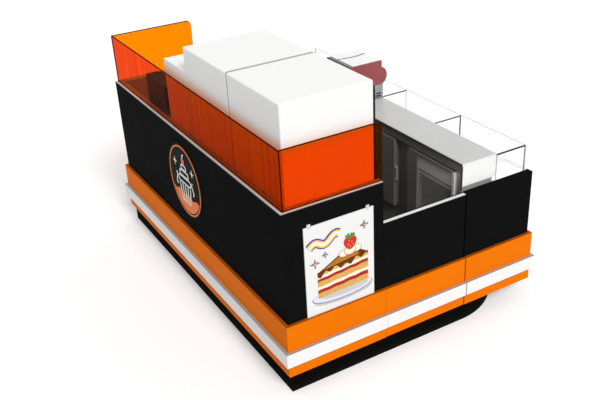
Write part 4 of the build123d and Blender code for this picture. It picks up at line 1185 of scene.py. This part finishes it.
# %% [markdown]
# ## Round sign
# The sign is a disc of matt black acrylic. Shapes routed from thin orange and white sheet are glued on
# it: a ring, a wavy table and a cupcake drawn in strokes. A flat bar with round ends, a stadium, makes
# each swirl of the icing. The shapes stand a millimetre proud, and so their edges catch light from any
# side.

# %% Stadiums and sparkles
def stadium(middle, half, radius):
    """A flat bar with round ends."""
    ends = ((middle[0] + half, middle[1]), -90, 90), ((middle[0] - half, middle[1]), 90, 270)
    return [point for centre, start, end in ends for point in arc(centre, radius, start, end, 12)]


def sparkle(middle, size, waist=0.28):
    """A star with four points."""
    turned = [(at * pi / 4, size if at % 2 == 0 else waist * size) for at in range(8)]
    return [(middle[0] + reach * cos(turn), middle[1] + reach * sin(turn)) for turn, reach in turned]


print("a sparkle has", len(sparkle((0, 0), 1)), "corners")

# %% Sign acrylics
sign_black = finish("black_cast_acrylic", ("#121213", "#171718"), (0.4, 0.5), specular=0.01)
sign_orange = finish("orange_routed_acrylic", ("#F07810", "#F57E18"), (0.35, 0.45), patch=120, specular=0.14)
sign_white = finish("white_routed_acrylic", ("#EDEDEA", "#F2F2F0"), (0.35, 0.45), patch=120, specular=0.25)
dress(sign_black, "round_sign", edge=1.0)
low, sign_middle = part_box("round_sign")[0], middle_of("round_sign")
shape_thick, line_width = 1.2 * mm, 10.0
depths = low.y, low.y - shape_thick


def on_sign(points):
    """Millimetres from the middle of the sign, as places on the front."""
    return [(sign_middle[0] + u * mm, sign_middle[1] + v * mm) for u, v in points]


# %% Orange shapes
ring_radius, table_radius, table_turn, wave_height, cherry_radius = 231.0, 212.0, 26.0, 10, 21
shape = bmesh.new()
inner_ring = on_sign(circle((0, 0), ring_radius - line_width, 96))
add_frame(shape, on_sign(circle((0, 0), ring_radius, 96)), inner_ring, *depths, on_front)
table = arc((0, 0), table_radius, 180 + table_turn, 360 - table_turn, 40)
table_half, table_line = table[-1]
waves = [table_half * (1 - at / 20) for at in range(1, 40)]
table += [(u, table_line + wave_height * sin(u / table_half * 3 * pi)) for u in waves]
add_plate(shape, on_sign(table), *depths, on_front)
add_plate(shape, on_sign(circle((0, 132), cherry_radius)), *depths, on_front)
build("sign_orange_shapes", shape, [sign_orange], slot="sign_face")

# %% White shapes
shape = bmesh.new()
for height, half, radius in ((2, 72, 25), (48, 46, 23), (90, 20, 21)):
    inner = on_sign(stadium((0, height), half, radius - line_width))
    add_frame(shape, on_sign(stadium((0, height), half, radius)), inner, *depths, on_front)
pleats = [((u, -28), (u * 0.74, -146)) for u in (-80, -40, 0, 40, 80)]
lines = [*pleats, ((-66, -146), (66, -146)), arc((30, 150), 34, 180, 110, 6)]
lines += [[(side * (118 + 9 * sin(at * pi / 4)), at * 11 - 60) for at in range(9)] for side in (-1, 1)]
for line in lines:
    add_plate(shape, on_sign(stroke(line, line_width)), low.y, low.y - 1.5 * shape_thick, on_front)
for place in ((-128, 96), (128, 96)):
    add_plate(shape, on_sign(sparkle(place, 30)), *depths, on_front)
build("sign_white_shapes", shape, [sign_white], slot="sign_face")

# %% [markdown]
# ## Poster
# A white board on the end shows a slice of layer cake on a plate, under a purple and gold ribbon. A
# printed picture has no height, but patches in one plane would flicker, so each patch of ink is a thin
# plate, 0.15 mm higher than the one before it. The inks are mottled as the food is: crumb pores in the
# sponge, streaks in the jam.

# %% Poster inks
def ink(name, first, second, patch):
    """Screen ink on film: matt, with the mottle of what it shows."""
    return finish(name, (first, second), (0.5, 0.62), patch=patch, grain=3, relief=0.01, specular=0.15)


poster_film = finish("white_matt_print_film", ("#F0F0EE", "#F4F4F2"), (0.5, 0.6), relief=0.01, specular=0.15)
dress(poster_film, "poster_board", edge=0.6)
inks = [
    ink("shadow_grey_ink", "#C9C6C4", "#D8D5D2", 40), ink("plate_blue_ink", "#DCE4F0", "#EAF0F8", 60),
    ink("plate_rim_ink", "#8E7FC0", "#A595D2", 30), ink("sponge_gold_ink", "#C98A2C", "#F2CE7C", 7),
    ink("jam_red_ink", "#8E1218", "#D2302C", 14), ink("cream_ink", "#FFF1CE", "#FFFBEF", 24),
    ink("chocolate_ink", "#4A200C", "#7A3C16", 30), ink("berry_red_ink", "#C0141C", "#EE4A36", 26),
    ink("leaf_green_ink", "#3F7A22", "#6CA83A", 12), ink("ribbon_purple_ink", "#4A2A7C", "#5E3C96", 60),
    ink("ribbon_gold_ink", "#F2B63C", "#FFD878", 60), ink("caramel_ink", "#A8641C", "#D08A30", 40),
]
grey, china, china_rim, sponge, jam, cream, chocolate, berry, leaf, purple, gold, caramel = range(len(inks))

# %% Plate
board_low, board_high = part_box("poster_board")
ink_thick = 0.15 * mm
poster, levels = bmesh.new(), count(1)


def printed(points, coat):
    """Adds the next patch of ink; its points are millimetres from the board's lower left corner."""
    places = [(board_low.y + u * mm, board_low.z + v * mm) for u, v in points]
    add_plate(poster, places, board_high.x, board_high.x + next(levels) * ink_thick, on_end, coat)


def oval(middle, wide, high, steps=40):
    return [(middle[0] + wide * u, middle[1] + high * v) for u, v in circle((0, 0), 1, steps)]


for middle, wide, high, coat in (((226, 70), 182, 36, grey), ((222, 92), 190, 46, china_rim),
                                 ((222, 95), 184, 42, china), ((232, 98), 150, 28, grey)):
    printed(oval(middle, wide, high), coat)
print("the poster is", round((board_high.y - board_low.y) / mm), "mm wide")

# %% Cake slice
tip, back, crown = (70, 96), (384, 110), (270, 352)
tip_height, back_height = 158, 176


def across(turn, rise):
    """A place on the cut side of the slice: along it from the tip and up it, both from 0 to 1."""
    height = tip_height + (back_height - tip_height) * turn
    return (tip[0] + (back[0] - tip[0]) * turn, tip[1] + (back[1] - tip[1]) * turn + height * rise)


def layer(bottom, top, wave, coat):
    """One layer of the cut side, with uneven upper and lower edges."""
    steps = [at / 16 for at in range(17)]
    under = [across(turn, bottom + wave * sin(turn * 23)) for turn in steps]
    over = [across(turn, top + wave * sin(turn * 17 + 2)) for turn in steps]
    printed(under + over[::-1], coat)


printed([across(0, 0.98), across(1, 0.98), crown], chocolate)
printed([across(0.1, 1.02), across(0.84, 1.03), (266, 340)], caramel)
for bottom, top, wave, coat in (
    (0.0, 0.97, 0.0, sponge), (0.2, 0.36, 0.012, jam), (0.33, 0.44, 0.01, cream), (0.64, 0.78, 0.012, jam),
    (0.75, 0.86, 0.01, cream),
):
    layer(bottom, top, wave, coat)
drips = [at / 64 for at in range(65)]
hanging = [across(turn, 0.9 - 0.07 * sin(turn * 31) - 0.05 * sin(turn * 12 + 1)) for turn in drips]
printed(hanging + [across(1, 1.01), across(0, 1.01)], chocolate)
print("plate and slice have", len(poster.faces), "faces")

# %% Cream, berry and leaves
for middle, size in (((232, 318), 30), ((314, 326), 30), ((272, 326), 36)):
    printed(oval(middle, size, 0.75 * size), caramel)
    printed(oval((middle[0], middle[1] + 2), size - 3, 0.75 * size - 3), cream)
turns = [at * pi / 16 for at in range(32)]
printed([(274 + 38 * cos(turn) * (1 + 0.28 * sin(turn)), 372 + 40 * sin(turn)) for turn in turns], berry)
for middle in ((260, 366), (284, 376), (292, 358), (268, 386), (274, 350)):
    printed(oval(middle, 2.8, 4.2, 12), gold)
for lean in (-56, -20, 20, 56):
    end = (274 + 34 * sin(radians(lean)), 408 + 20 * cos(radians(lean)))
    printed(stroke([(274, 402), ((274 + end[0]) / 2, 409), end], 11), leaf)
print("with cream and berry there are", len(poster.faces), "faces")

# %% Ribbon and stars
ribbon = [(26 + at * 9, 416 + 16 * sin(at * pi / 7) + at * 1.5) for at in range(21)]
for width, coat in ((50, purple), (38, gold), (20, cream)):
    printed(stroke(ribbon, width), coat)
for middle, outer, inner in (((58, 316), 28, 18), ((120, 350), 19, 11), ((362, 452), 26, 16)):
    printed(sparkle(middle, outer), purple)
    printed(sparkle(middle, inner), gold)
build("poster_print", poster, inks, slot="poster_face")

# %% [markdown]
# ## Poster clips
# Two small spring clips hold the board at its top corners. Each is a bent strip of satin anodised
# aluminium, a silky metal without a mirror image. It is drawn as a plate that laps over the top edge, a
# back leg and a domed screw head.

# %% Clips
anodised = finish("satin_anodised_aluminium", ("#D6D7D7", "#E0E1E1"), (0.34, 0.44), patch=120, grain=10,
                  relief=0.01, metal=1.0)
clip_width, clip_lap, clip_rise, clip_thick, clip_inset = 22 * mm, 9 * mm, 14 * mm, 1.5 * mm, 34 * mm
clip_round, clip_screw_rise = 0.4 * mm, 0.62
clip_screw_rings = [(3.2, 0), (3.2, 0.5), (2.75, 1.0), (1.6, 1.4)]
top, front, leg = board_high.z, board_high.x, end_x + clip_thick
lap = [(end_x, top), (front, top), (front, top - clip_lap), (front + clip_thick, top - clip_lap),
       (front + clip_thick, top + clip_thick), (leg, top + clip_thick), (leg, top + clip_rise),
       (end_x, top + clip_rise)]
for name, middle in (("left_poster_clip", board_low.y + clip_inset),
                     ("right_poster_clip", board_high.y - clip_inset)):
    shape = bmesh.new()
    add_plate(shape, lap, middle - clip_width / 2, middle + clip_width / 2, on_front)
    ease(shape, clip_round)
    screw = middle, top + clip_screw_rise * clip_rise, leg
    add_turned(shape, screw, clip_screw_rings, on_end)
    build(name, shape, [anodised], slot="pale_trim")
